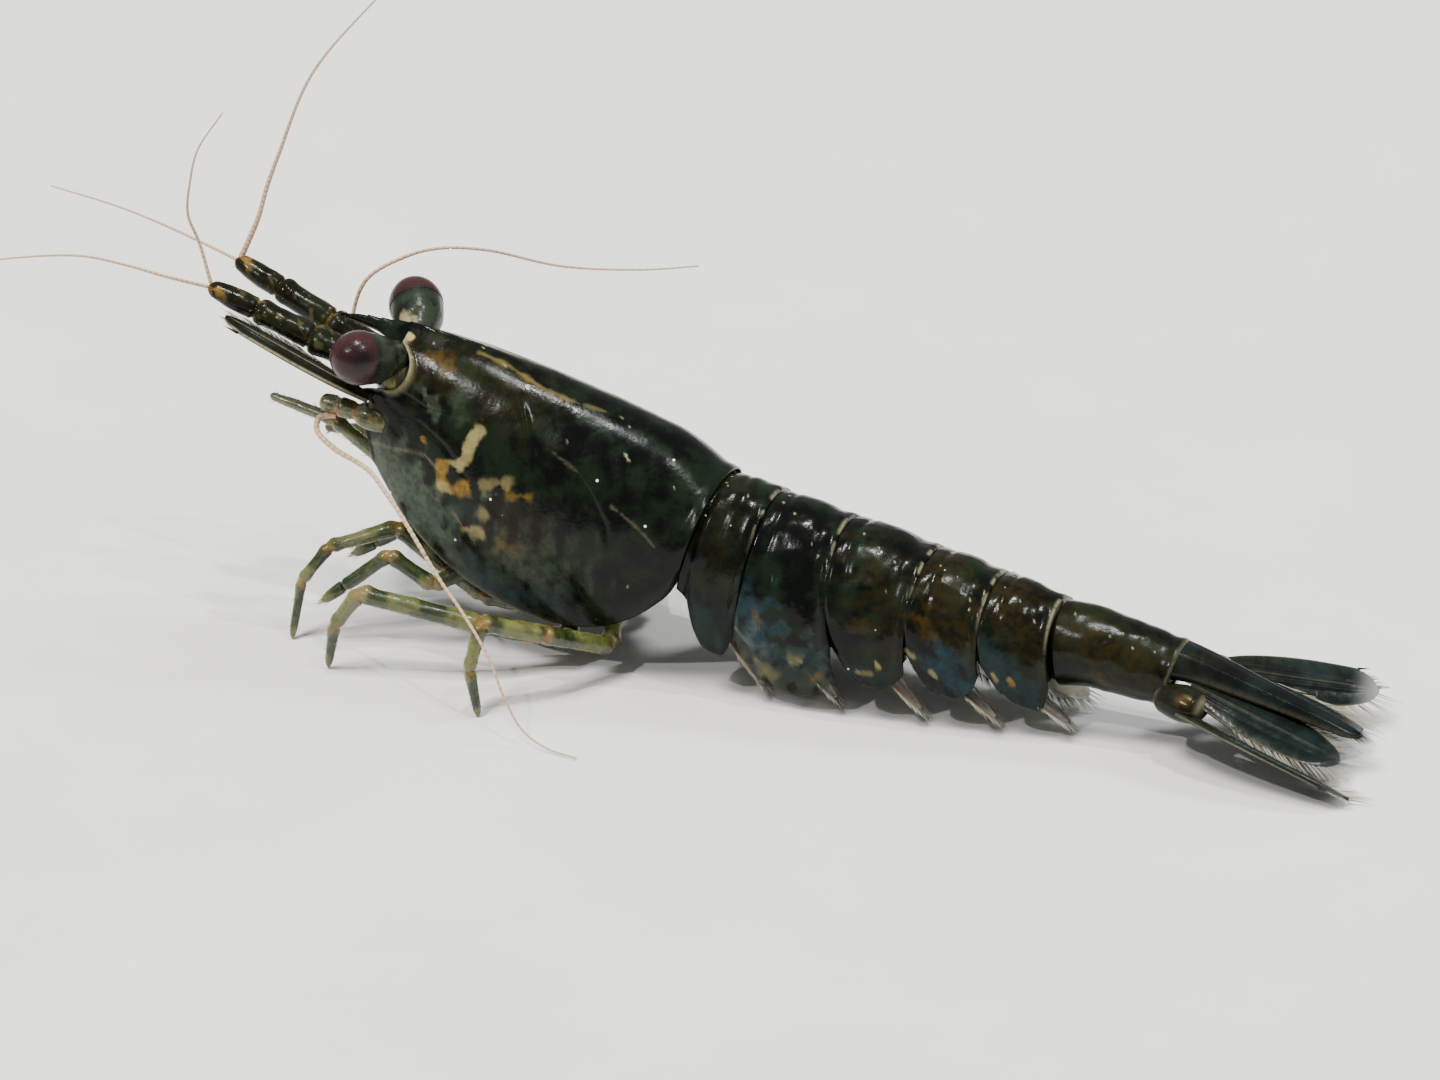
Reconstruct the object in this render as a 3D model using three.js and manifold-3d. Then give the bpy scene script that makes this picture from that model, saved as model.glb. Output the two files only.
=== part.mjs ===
// A dwarf freshwater shrimp, life-size, standing on its walking legs and its tail fan.
// Millimetres. +X runs from head to tail, -Y is the animal's left side, +Z is up, the floor is z = 0.
//
// The trunk is drawn straight, in "body places" (along, across, up) whose zero is the middle of
// the carapace's rear edge, and posed() then tilts it head up and bends it behind the carapace
// and before the tail fan. Limbs and feelers start at body places and go on in standing places.
import * as THREE from "three";
import Module from "manifold-3d";

const wasm = await Module();
wasm.setup();

// ---- Driving dimensions ----------------------------------------------------------------------

const GAP = 0.1; // clear space between neighbouring pieces
const STANDING_HEIGHT = 5.1; // floor to the rear edge of the carapace
const HEAD_PITCH = 17; // degrees that the head end is raised
const BENDS = [
  { start: 11.4, length: 1.6, pitch: 8 }, // the tail fan droops behind the sixth segment
  { start: -0.2, length: 1.6, pitch: -5 }, // the abdomen runs flatter than the carapace
];
const SIDES = { left: -1, right: 1 };

// Profiles are pairs of [place along the body, value].
const CARAPACE = {
  front: -8.1,
  rear: 0.25,
  top: [[-8.1, 0.02], [-6.4, 0.26], [-4.4, 0.36], [-2.6, 0.38], [-1.2, 0.34], [-0.4, 0.14], [0.25, -0.16]],
  halfWidth: [[-8.1, 1.12], [-7.2, 1.45], [-6, 1.8], [-4.5, 2.05], [-3, 2.15], [-1.5, 2.1], [0.25, 1.8]],
  bottom: [[-8.1, -2.9], [-7.5, -3.45], [-6.5, -4.1], [-5.2, -4.62], [-3.8, -4.85], [-2.4, -4.78],
    [-1.2, -4.4], [-0.4, -3.75], [0, -3.1], [0.25, -2.3]],
  wall: 0.4, // thickness of the shell where the breast fits into it
};
const UNDERBODY = {
  front: -8.1,
  rear: -0.7,
  ceiling: [[-8.1, -0.45], [-7.7, -0.6], [-7.1, -2.2], [-6, -2.9], [-3, -3.15], [-0.7, -3]],
  floor: [[-8.1, -2.3], [-7.4, -3], [-6.5, -3.5], [-5, -3.9], [-3, -4], [-1.2, -3.8], [-0.7, -3.5]],
  fill: 0.83, // share of the inside width that it takes up
  inset: 0.12,
  shoulder: 0.45, // rounding of its upper and lower corners
};
const ARCH_CENTRE = { carapace: 0.64, abdomen: 0.74 }; // how far down its height a section is widest
const ROSTRUM = { root: -8.1, tip: -9.75, tipUp: -0.55, halfWidth: 0.17, depth: 0.4, teeth: 5, tooth: 0.07 };
const EYE = { along: -8.6, across: 1.62, up: -0.4, radius: 0.66, orbit: 0.98 };
const EYESTALK = { along: -8.2, across: 0.4, up: -0.55, root: 0.27, neck: 0.4, behind: 0.1, inside: 0.3 };

// Abdomen: where each joint crosses the back, and how far back it leans for each mm down the side.
const JOINTS = [0.38, 1.54, 3.35, 5.53, 7.22, 8.82, 11.95];
const LEANS = [0.05, 0.08, 0.33, 0.18, 0.23, 0.28, 0];
const SEGMENTS = [
  { halfWidth: [1.76, 1.9], pleuron: -3.8, notch: 1.1, peak: 0.7, ceiling: -2.3 },
  { halfWidth: [1.92, 1.95], pleuron: -4.02, notch: 0.85, peak: 0.5, ceiling: -2.4 },
  { halfWidth: [1.9, 1.78], pleuron: -3.12, notch: 0.65, peak: 0.5, ceiling: -2.2 },
  { halfWidth: [1.76, 1.58], pleuron: -2.75, notch: 0.75, peak: 0.6, ceiling: -2 },
  { halfWidth: [1.54, 1.22], pleuron: -2.45, notch: 0.8, peak: 0.8, ceiling: -1.8 },
];
const PLEURON_WALL = 0.42;
const BELLY = { skin: 0.25, corner: 0.25, slope: 0.1 }; // the least thickness and the cut corner inside
const LOBE_POWER = 2.6; // how squarely a side plate's lower edge is rounded
const BACK_DIP = 0.14; // how far the back sinks at each joint
const TAIL_SEGMENT = { halfWidth: [1.02, 0.84], depth: [1.92, 1.62], sides: 14 };
const TELSON = { length: 4.5, halfWidth: [0.7, 0.3], roof: 0.02, thickness: [0.84, 0.36], arch: 0.12, sides: 10 };
const UROPOD = {
  protopod: { from: [11.62, 1.04, -1.3], to: [12.75, 1.1, -1.02], halfWidth: 0.34, thickness: 0.58 },
  endopod: { from: [12.86, 0.76, -0.78], to: [16.4, 0.8, -0.52], halfWidth: 0.6, thickness: 0.3 },
  exopod: {
    left: { from: [12.86, 1.34, -1.08], to: [17.14, 1.8, -0.74], halfWidth: 0.6, thickness: 0.44 },
    right: { from: [12.86, 1.36, -1.08], to: [16.2, 2.5, -0.3], halfWidth: 0.6, thickness: 0.44 },
  },
};

const FAN_ROLL = { inner: 12, outer: -28 }; // degrees that the outer edges of the fan's side plates hang down

const HIPS = { along: [-4.8, -3.9, -3, -2.1, -1.2], across: 0.66, clear: 0.18 };
const LEG_RADIUS = { thigh: 0.29, shin: 0.25, knuckle: 0.05, knuckleLength: 0.05 };
const LEG_JOINTS = [0.3, 0.72]; // fractions of the leg's length
const FOOT_DEPTH = 0.15; // how far a leg runs below the floor before its foot is cut flat
const CLAW = { length: 0.55, overlap: 0.15, spread: 0.14, root: [0.13, 0.2], tip: [0.09, 0.12] };
const CLAW_ARM = { wide: 0.26, high: 0.25, palm: 0.07 };
const PLEOPOD = {
  stem: [0.32, 0.25],
  blade: [0.26, 0.23],
  swell: 0.08,
  across: 0.44,
  clear: 0.55, // height of the knee's lowest reach above the floor
  blades: [[0.9, 0.1, 0.95], [0.6, -0.1, 0.8]], // back, share of the room outwards, share of the drop
};
const FLAGELLUM_RADIUS = 0.25;
const ANTENNA_SPLIT = 0.45; // where the antenna is parted into its two lengths

// Standing places of the bends of each limb, on the left side: [along, out from the middle, height].
const CHELIPED_1 = {
  left: [[-6.6, 0.42, 2.4], [-7.9, 0.4, 2.3], [-9, 0.62, 1.6]],
  right: [[-6.6, 0.42, 2.4], [-7.8, 0.42, 2.2], [-8.8, 0.7, 1.4]],
};
const CHELIPED_2 = {
  left: [[-5.6, 0.96, 2.04], [-6.65, 1.62, 1.57], [-7.65, 1.9, 2.32], [-9.1, 2.3, 1.12]],
  right: [[-5.2, 1.15, 1.45], [-6.5, 1.7, 1.6], [-7.3, 2.1, 2.2], [-8.5, 2.9, 0.9]],
};
const WALKING_LEGS = [
  { left: [[-4.5, 0.95, 1.12], [-5.6, 0.93, 1.18], [-6.6, 0.82, 1.7], [-7.8, 1.02, 2.62],
    [-9.25, 1.75, 2.2], [-9.8, 2.2, 1.4], [-9.9, 2.6, 0]],
    right: [[-4.3, 1.35, 0.85], [-6, 2.5, 1.2], [-7.9, 3.6, 2.2], [-8.4, 3.9, 1.2], [-8.5, 4, 0]] },
  { left: [[-3.2, 1.6, 0.74], [-5, 2.75, 1.35], [-7.75, 3.5, 2.02], [-8.3, 3.75, 1.2], [-8.5, 3.7, 0]],
    right: [[-3.2, 1.6, 0.72], [-4.4, 3, 1.5], [-5.8, 4.1, 2.2], [-6.2, 4.5, 1.2], [-6.2, 4.6, 0]] },
  { left: [[-2.1, 1.65, 0.78], [-3.2, 3.2, 1.6], [-4.4, 4.1, 2.1], [-4.5, 4.6, 1.1], [-4.2, 4.8, 0]],
    right: [[-2.1, 1.65, 0.78], [-2.7, 3.1, 1.6], [-3.4, 4.2, 2.1], [-3.3, 4.7, 1.1], [-2.9, 4.9, 0]] },
];
const MAXILLIPED = {
  root: [-6.4, 0.42],
  radius: [0.27, 0.22],
  left: [[-8.3, 0.5, 4], [-9.6, 0.46, 4.91], [-11.3, 0.42, 5.26]],
  right: [[-8.3, 0.5, 3.8], [-9.2, 0.5, 4.25], [-10.2, 0.4, 4.3]],
};

const PEDUNCLE = { from: [-8.22, 0.45, -1.22], to: [-12.95, 0.85, -0.87], root: 0.38, tip: 0.27 };
const PEDUNCLE_JOINTS = [0.42, 0.72]; // fractions of its length
const SCALE = {
  left: { from: [-8.6, 1.36, -1.5], to: [-12.15, 1.42, -1.1], halfWidth: 0.46, thickness: 0.4, roll: -8 },
  right: { from: [-8.6, 1.3, -1.72], to: [-12.05, 1.42, -1.4], halfWidth: 0.46, thickness: 0.4, roll: 18 },
};
const ANTENNA_BASE = { from: [-8.22, 1, -2.22], to: [-9.2, 1.14, -2.22], root: 0.34, tip: 0.3 };

// Feelers, from where they leave their base: [along, out from the middle, height].
const OUTER_FEELER = {
  left: [[-12.84, 1.1, 7.92], [-13.5, 1.45, 8.45], [-14.3, 1.75, 8.72], [-15.4, 2.1, 8.95],
    [-17.1, 2.7, 8.85], [-18.6, 3.1, 8.5]],
  right: [[-12.84, 1.08, 7.86], [-13.5, 1.4, 7.98], [-15, 1.9, 8.13], [-16.4, 2.35, 8.2], [-18.4, 3, 8.15]],
};
const INNER_FEELER = {
  left: [[-12.55, 0.55, 8.4], [-12.9, 0.75, 9.1], [-13.12, 0.9, 9.9], [-13, 1, 10.8], [-12.74, 1.1, 11.7],
    [-12, 1.25, 12.8]],
  right: [[-12.5, 0.6, 8.45], [-12.1, 0.9, 9.2], [-11.94, 1.1, 9.95], [-11.69, 1.3, 10.8],
    [-11, 1.8, 12.78], [-9.2, 2.7, 15.1]],
};
const ANTENNA = {
  left: [[-9.52, 1.72, 5.3], [-9, 2.14, 5.05], [-7.95, 2.4, 4.72], [-7.38, 2.7, 4.38], [-6.68, 3.2, 3.95],
    [-5.4, 4.1, 3.01], [-4.74, 4.5, 2.57], [-3.8, 5.1, 1.77], [-3.3, 5.45, 1.05], [-2.7, 5.75, 0.45],
    [-2, 5.92, 0.26], [-1.2, 6.05, 0.25]],
  right: [[-9.72, 1.62, 5.6], [-10.2, 2.05, 6.15], [-9.95, 2.35, 7.3], [-9.1, 2.9, 7.85], [-8.4, 3.3, 8],
    [-7.4, 3.8, 7.9], [-5.8, 4.6, 7.4], [-4, 5.3, 7.3], [-2.7, 5.8, 7.4]],
};

const FINISHES = {
  shell: { color: 0x16201a, roughness: 0.28 },
  soft_shell: { color: 0x4b5332, roughness: 0.4 },
  eye: { color: 0x2c1416, roughness: 0.12 },
  limb: { color: 0x596237, roughness: 0.35 },
  feeler: { color: 0xc9ac84, roughness: 0.45 },
  fan: { color: 0x33443c, roughness: 0.32 },
  paddle: { color: 0xa39c80, roughness: 0.5 },
};

// ---- Small helpers ---------------------------------------------------------------------------

const at = (along, across, up) => new THREE.Vector3(along, across, up);
const lerp = THREE.MathUtils.lerp;
const radians = THREE.MathUtils.degToRad;

// A smooth value through [place, value] pairs: cubic pieces whose slopes come from the neighbours.
function profile(pairs) {
  const last = pairs.length - 1;
  const slope = (i) => {
    const before = pairs[Math.max(i - 1, 0)];
    const after = pairs[Math.min(i + 1, last)];
    return (after[1] - before[1]) / (after[0] - before[0]);
  };
  return (place) => {
    if (place <= pairs[0][0]) {
      return pairs[0][1];
    }
    if (place >= pairs[last][0]) {
      return pairs[last][1];
    }
    const i = pairs.findIndex((pair) => pair[0] > place) - 1;
    const width = pairs[i + 1][0] - pairs[i][0];
    const t = (place - pairs[i][0]) / width;
    return pairs[i][1] * (1 + 2 * t) * (1 - t) ** 2 + slope(i) * width * t * (1 - t) ** 2
      + pairs[i + 1][1] * t ** 2 * (3 - 2 * t) + slope(i + 1) * width * t ** 2 * (t - 1);
  };
}

// Evenly spaced numbers, both ends included; a bias above 0 crowds them towards the ends.
function spread(from, to, steps, bias = 0) {
  return Array.from({ length: steps + 1 }, (_, i) => {
    const t = i / steps;
    return lerp(from, to, lerp(t, (1 - Math.cos(Math.PI * t)) / 2, bias));
  });
}

// One bend of the body axis: an arc over the bend's length, and straight before and after it.
function bent(point, { start, length, pitch }) {
  const total = radians(pitch);
  const along = THREE.MathUtils.clamp(point.x - start, 0, length);
  const turn = total * along / length;
  const radius = length / total;
  const rest = point.x - start - along;
  return at(
    start + radius * Math.sin(turn) + rest * Math.cos(turn) + point.z * Math.sin(turn),
    point.y,
    -radius * (1 - Math.cos(turn)) - rest * Math.sin(turn) + point.z * Math.cos(turn),
  );
}

// A body place in the standing pose.
function posed(point) {
  const curved = BENDS.reduce(bent, point);
  const pitch = radians(HEAD_PITCH);
  return at(
    curved.x * Math.cos(pitch) + curved.z * Math.sin(pitch),
    curved.y,
    curved.z * Math.cos(pitch) - curved.x * Math.sin(pitch) + STANDING_HEIGHT,
  );
}

// ---- Solids ----------------------------------------------------------------------------------

// Two directions that span a closed outline's plane, the first one towards its first point.
function planeOf(ring) {
  const centre = ring.reduce((sum, p) => sum.add(p), at(0, 0, 0)).divideScalar(ring.length);
  const normal = at(0, 0, 0);
  ring.forEach((p, i) => {
    const a = p.clone().sub(centre);
    const b = ring[(i + 1) % ring.length].clone().sub(centre);
    normal.add(a.cross(b));
  });
  normal.normalize();
  const first = ring[0].clone().sub(centre).projectOnPlane(normal).normalize();
  return { centre, first, second: normal.clone().cross(first) };
}

// The triangles that close one outline.
function capOf(ring) {
  const { centre, first, second } = planeOf(ring);
  const flat = ring.map((p) => {
    const offset = p.clone().sub(centre);
    return new THREE.Vector2(offset.dot(first), offset.dot(second));
  });
  return THREE.ShapeUtils.triangulateShape(flat, []);
}

// Six times the signed volume that closed triangles hold.
function signedVolume(points, triangles) {
  return triangles.reduce((sum, [a, b, c]) => {
    return sum + points[a].dot(points[b].clone().cross(points[c]));
  }, 0);
}

// A closed solid through a row of outlines that have equally many points.
function loft(rings) {
  const count = rings[0].length;
  const points = rings.flat();
  const triangles = [];
  for (let i = 0; i + 1 < rings.length; i += 1) {
    for (let j = 0; j < count; j += 1) {
      const here = i * count + j;
      const next = i * count + (j + 1) % count;
      triangles.push([here, next, here + count], [next, next + count, here + count]);
    }
  }
  const end = points.length - count;
  const startCap = capOf(rings[0]).map(([a, b, c]) => [a, c, b]);
  const endCap = capOf(rings.at(-1)).map((triangle) => triangle.map((index) => index + end));
  triangles.push(...startCap, ...endCap);
  const facesIn = signedVolume(points, triangles) < 0;
  return solidOf(points, facesIn ? triangles.map(([a, b, c]) => [a, c, b]) : triangles);
}

function solidOf(points, triangles) {
  const vertProperties = new Float32Array(points.flatMap((p) => [p.x, p.y, p.z]));
  const triVerts = new Uint32Array(triangles.flat());
  return new wasm.Manifold(new wasm.Mesh({ numProp: 3, vertProperties, triVerts }));
}

// A trunk solid: outlines of [across, up] pairs at places along the body, tilted by a lean.
function trunkLoft(places, outlineAt, alongAt = (place) => place) {
  return loft(places.map((place) => outlineAt(place).map(([across, up]) => {
    return posed(at(alongAt(place, up), across, up));
  })));
}

// Outlines of equally many points around a smooth path. sizeAt gives the two half sizes at a
// fraction of the length: the first lies square to the path and "level", the second square to both.
function sweep(path, sizeAt, { sides = 6, steps = 8, level = at(0, 1, 0), bias = 0.35, fractions } = {}) {
  const curve = new THREE.CatmullRomCurve3(path, false, "centripetal");
  const rings = (fractions ?? spread(0, 1, steps, bias)).map((t) => {
    const centre = curve.getPointAt(t);
    const tangent = curve.getTangentAt(t);
    const across = level.clone().projectOnPlane(tangent).normalize();
    const up = tangent.clone().cross(across);
    const [wide, high] = sizeAt(t);
    return Array.from({ length: sides }, (_, i) => {
      const angle = (i + 0.5) * 2 * Math.PI / sides;
      return centre.clone()
        .addScaledVector(across, wide * Math.cos(angle))
        .addScaledVector(up, high * Math.sin(angle));
    });
  });
  return loft(rings);
}

// A ball, squashed or stretched, as a solid.
function ball(centre, radius, around = 14, along = 10) {
  const rings = spread(0, Math.PI, along).slice(1, -1).map((polar) => {
    return Array.from({ length: around }, (_, i) => {
      const angle = i * 2 * Math.PI / around;
      return at(
        centre.x + radius * Math.cos(angle) * Math.sin(polar),
        centre.y + radius * Math.cos(polar),
        centre.z + radius * Math.sin(angle) * Math.sin(polar),
      );
    });
  });
  return loft(rings);
}

// What is cut from a limb or a tail that stands on the floor.
function belowFloor() {
  const reach = 30;
  const corners = [[-reach, -reach], [reach, -reach], [reach, reach], [-reach, reach]];
  return loft([-reach, 0].map((z) => corners.map(([x, y]) => at(x, y, z))));
}

// ---- Shells of the trunk ---------------------------------------------------------------------

// The arch of a shell section, from one lower edge over the back to the other.
function arch(top, bottom, halfWidth, steps, centring) {
  const half = (top - bottom) * centring;
  const centre = top - half;
  const edge = Math.acos((bottom - centre) / half);
  return spread(-edge, edge, steps).map((turn) => {
    return [halfWidth * Math.sin(turn), centre + half * Math.cos(turn)];
  });
}

function carapace() {
  const top = profile(CARAPACE.top);
  const bottom = profile(CARAPACE.bottom);
  const halfWidth = profile(CARAPACE.halfWidth);
  const shell = trunkLoft(
    spread(CARAPACE.front, CARAPACE.rear, 16, 0.6),
    (place) => arch(top(place), bottom(place), halfWidth(place), 16, ARCH_CENTRE.carapace),
  );
  const sockets = Object.values(SIDES).flatMap((sign) => {
    return [ball(eyePlace(sign), EYE.orbit, 10, 8), stalkOf(sign, GAP)];
  });
  return sockets.reduce((solid, socket) => solid.subtract(socket), shell.subtract(underbody(1.5 * GAP)));
}

// The breast and face under the carapace; a larger copy of it, open below, makes room for it.
function underbody(grow = 0) {
  const ceiling = profile(UNDERBODY.ceiling);
  const floor = profile(UNDERBODY.floor);
  const halfWidth = profile(CARAPACE.halfWidth);
  const room = grow > 0;
  const openFront = room ? 0.4 : 0;
  const openBelow = -7;
  return trunkLoft(
    spread(UNDERBODY.front - openFront, UNDERBODY.rear + grow, 9),
    (place) => {
      const wide = (halfWidth(place) - CARAPACE.wall) * UNDERBODY.fill - UNDERBODY.inset + grow;
      const high = ceiling(place) + grow;
      const low = room ? openBelow : floor(place);
      const shoulder = Math.min(UNDERBODY.shoulder, (high - low) * 0.4);
      return [
        [wide * 0.85, low], [wide, low + shoulder * 0.8], [wide, high - shoulder], [wide * 0.55, high],
        [-wide * 0.55, high], [-wide, high - shoulder], [-wide, low + shoulder * 0.8], [-wide * 0.85, low],
      ];
    },
  );
}

// A saw-edged blade between the eyes.
function rostrum() {
  const steps = ROSTRUM.teeth * 2 + 1;
  const places = spread(ROSTRUM.root - GAP, ROSTRUM.tip, steps);
  return trunkLoft(places, (place) => {
    const t = (place - ROSTRUM.root) / (ROSTRUM.tip - ROSTRUM.root);
    const ridge = lerp(-0.02, ROSTRUM.tipUp + 0.02, t ** 1.6);
    const tooth = Math.round(t * steps) % 2 === 0 && t < 0.95 ? ROSTRUM.tooth : 0;
    const depth = Math.max(ROSTRUM.depth * (1 - t * 0.9), 0.05);
    const wide = Math.max(ROSTRUM.halfWidth * (1 - t * 0.8), 0.04);
    const middle = ridge - depth * 0.45;
    return [[0, ridge + tooth], [wide, middle], [0, ridge - depth], [-wide, middle]];
  });
}

// How far along the body a joint plane lies at a depth below the back.
function jointAt(index, up) {
  return JOINTS[index] + LEANS[index] * Math.max(-up, 0);
}

// One hooped segment with its side plates hanging below the belly.
function abdomenSegment(index) {
  const { halfWidth, pleuron, notch, peak, ceiling } = SEGMENTS[index];
  const outlineAt = (t) => {
    const lobe = t < peak ? (peak - t) / peak : (t - peak) / (1 - peak);
    const bottom = pleuron + notch * lobe ** LOBE_POWER;
    const top = BACK_DIP * (Math.sin(Math.PI * t) - 1);
    const outer = arch(top, bottom, lerp(halfWidth[0], halfWidth[1], t), 12, ARCH_CENTRE.abdomen);
    const wide = outer.at(-1)[0] - PLEURON_WALL;
    const belly = Math.max(ceiling, bottom + BELLY.skin);
    const inner = [[wide, bottom], [wide, belly - BELLY.slope], [wide - BELLY.corner, belly]];
    return [...outer, ...inner, ...inner.toReversed().map(([across, up]) => [-across, up])];
  };
  return trunkLoft(
    spread(0, 1, 6, 0.6),
    outlineAt,
    (t, up) => lerp(jointAt(index, up) + GAP / 2, jointAt(index + 1, up) - GAP / 2, t),
  );
}

function tailSegment() {
  const { halfWidth, depth, sides } = TAIL_SEGMENT;
  return trunkLoft(
    spread(0, 1, 6, 0.4),
    (t) => {
      const half = lerp(depth[0], depth[1], t) / 2;
      const wide = lerp(halfWidth[0], halfWidth[1], t);
      const top = BACK_DIP * (Math.sin(Math.PI * Math.min(t * 1.6, 0.5)) - 1);
      return Array.from({ length: sides }, (_, i) => {
        const angle = i * 2 * Math.PI / sides;
        return [wide * Math.sin(angle), top - half + half * Math.cos(angle)];
      });
    },
    (t, up) => lerp(jointAt(5, up) + GAP / 2, JOINTS[6], t),
  );
}

// The pointed middle plate of the tail fan, arched across.
function telson() {
  const { length, halfWidth, roof, thickness, arch: crown, sides } = TELSON;
  const from = JOINTS[6] + GAP;
  return trunkLoft(spread(0, 1, 7, 0.4), (t) => {
    const wide = lerp(halfWidth[0], halfWidth[1], t ** 0.8) * Math.sqrt(Math.max(1 - t ** 8, 0.15));
    const thick = lerp(thickness[0], thickness[1], Math.sqrt(t));
    const up = roof - thick / 2;
    return Array.from({ length: sides }, (_, i) => {
      const angle = i * 2 * Math.PI / sides;
      return [wide * Math.sin(angle), up + 0.5 * thick * Math.cos(angle) - crown * Math.sin(angle) ** 2];
    });
  }, (t) => from + t * length);
}

// ---- Limbs -----------------------------------------------------------------------------------

const onSide = ([along, across, up], side) => at(along, side * across, up);
const bodyPlace = (place, side) => posed(onSide(place, side));

// A flat blade between two body places, rolled about its length, with a leaf's outline.
function blade({ from, to, halfWidth, thickness }, side, { roll = 0, round = 0.75, steps = 7 } = {}) {
  const level = at(0, Math.cos(radians(roll)), -side * Math.sin(radians(roll)));
  const wideAt = (t) => halfWidth * Math.max(Math.sin(Math.PI * Math.min(t * 0.62 + 0.2, 1)) ** round, 0.3);
  const tipAt = (t) => Math.sqrt(Math.max(1 - t ** 7, 0.12));
  const path = [bodyPlace(from, side), bodyPlace(to, side)];
  return sweep(path, (t) => [wideAt(t) * tipAt(t), thickness / 2], { sides: 8, steps, level });
}

// Where a limb leaves the breast.
function hip(index, side) {
  const along = HIPS.along[index];
  const up = profile(UNDERBODY.floor)(along) - HIPS.clear;
  return bodyPlace([along, HIPS.across, up], side);
}

// Knuckled tapering tube: the radius swells at the fractions where a limb bends.
function knuckled(root, tip, joints) {
  return (t) => {
    const swell = joints.reduce((sum, joint) => {
      return sum + Math.exp(-(((t - joint) / LEG_RADIUS.knuckleLength) ** 2));
    }, 0);
    const radius = lerp(root, tip, t) + LEG_RADIUS.knuckle * swell;
    return [radius, radius];
  };
}

function walkingLeg(index, side) {
  const [name, sign] = side;
  const bends = WALKING_LEGS[index][name].map((place) => onSide(place, sign));
  const foot = bends.at(-1).clone().add(at(0, 0, -FOOT_DEPTH));
  const path = [hip(index + 2, sign), ...bends.slice(0, -1), foot];
  const size = knuckled(LEG_RADIUS.thigh, LEG_RADIUS.shin, LEG_JOINTS);
  return sweep(path, size, { steps: 13, level: at(0.2, 1, 0.3), bias: 0 }).subtract(belowFloor());
}

// A slim arm that ends in two small spooned fingers.
function cheliped(index, side) {
  const [name, sign] = side;
  const bends = (index === 0 ? CHELIPED_1 : CHELIPED_2)[name].map((place) => onSide(place, sign));
  const end = bends.at(-1);
  const reach = end.clone().sub(bends.at(-2)).normalize();
  const wrist = end.clone().addScaledVector(reach, -CLAW.length);
  const level = at(0, 1, 0).projectOnPlane(reach).normalize();
  const arm = sweep([hip(index, sign), ...bends.slice(0, -1), wrist], (t) => {
    const palm = CLAW_ARM.palm * THREE.MathUtils.smoothstep(t, 0.75, 0.95);
    return [CLAW_ARM.wide + palm, CLAW_ARM.high + palm * 0.6];
  }, { steps: 10, bias: 0 });
  const fingers = [-1, 1].map((way) => {
    const start = wrist.clone().addScaledVector(reach, -CLAW.overlap).addScaledVector(level, way * CLAW.spread);
    const tip = end.clone().addScaledVector(level, way * CLAW.spread * 0.93);
    const sizeAt = (t) => CLAW.root.map((size, i) => lerp(size, CLAW.tip[i], t));
    return sweep([start, tip], sizeAt, { steps: 2, level });
  });
  return fingers.reduce((solid, finger) => solid.add(finger), arm);
}

function maxilliped(side) {
  const [name, sign] = side;
  const { root: [along, across], radius: [thick, thin], [name]: bends } = MAXILLIPED;
  const start = bodyPlace([along, across, profile(UNDERBODY.floor)(along) - HIPS.clear - GAP], sign);
  const path = [start, ...bends.map((place) => onSide(place, sign))];
  return sweep(path, knuckled(thick, thin, [0.5]), { steps: 8, bias: 0 });
}

// A paddle leg under the belly: a short stem and two blades that sweep back.
function pleopod(index, side) {
  const [, sign] = side;
  const { ceiling, halfWidth } = SEGMENTS[index];
  const room = halfWidth[1] - PLEURON_WALL;
  const middle = (jointAt(index, ceiling) + jointAt(index + 1, ceiling)) / 2 - 0.15;
  const ground = posed(at(middle, 0, ceiling)).z;
  const halfDrop = (ground - PLEOPOD.clear) / 2;
  const root = bodyPlace([middle, room * PLEOPOD.across, ceiling - GAP], sign);
  const knee = root.clone().add(at(0.05, 0, -halfDrop));
  const start = knee.clone().add(at(-0.02, 0, 0.12));
  const [wide, thick] = PLEOPOD.blade;
  return PLEOPOD.blades.reduce((solid, [back, out, down]) => {
    const tip = knee.clone().add(at(back, sign * out * room, -halfDrop * down));
    return solid.add(sweep([start, tip], (t) => {
      return [wide + PLEOPOD.swell * Math.sin(Math.PI * t), thick];
    }, { steps: 3 }));
  }, sweep([root, knee], () => PLEOPOD.stem, { steps: 1 }));
}

// ---- Head pieces -----------------------------------------------------------------------------

const eyePlace = (sign) => bodyPlace([EYE.along, EYE.across, EYE.up], sign);

// The stem of an eye from the face into the ball; a larger copy makes its socket.
function stalkOf(sign, grow = 0) {
  const root = bodyPlace([EYESTALK.along, EYESTALK.across, EYESTALK.up], sign);
  const neck = bodyPlace([EYE.along + EYESTALK.behind, EYE.across - EYESTALK.inside, EYE.up], sign);
  root.addScaledVector(neck.clone().sub(root).normalize(), -grow);
  return sweep([root, neck], (t) => {
    const radius = lerp(EYESTALK.root, EYESTALK.neck, t) + grow;
    return [radius, radius];
  }, { sides: 8, steps: 3, level: at(0, 0, 1) });
}

function eyestalk(side) {
  const [, sign] = side;
  return stalkOf(sign).subtract(ball(eyePlace(sign), EYE.radius + GAP / 2));
}

// The three-jointed stem of the short feelers.
function peduncle(side) {
  const [, sign] = side;
  const { from, to, root, tip } = PEDUNCLE;
  const size = knuckled(root, tip, PEDUNCLE_JOINTS);
  return sweep([bodyPlace(from, sign), bodyPlace(to, sign)], size, { sides: 8, steps: 10, bias: 0 });
}

// The leaf-shaped scale beside the antenna.
function scale(side) {
  const [name, sign] = side;
  return blade(SCALE[name], sign, { roll: SCALE[name].roll, round: 0.9, steps: 6 });
}

function antennaBase(side) {
  const [, sign] = side;
  const { from, to, root, tip } = ANTENNA_BASE;
  const size = knuckled(root, tip, [0.55]);
  return sweep([bodyPlace(from, sign), bodyPlace(to, sign)], size, { sides: 8, steps: 5 });
}

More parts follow.
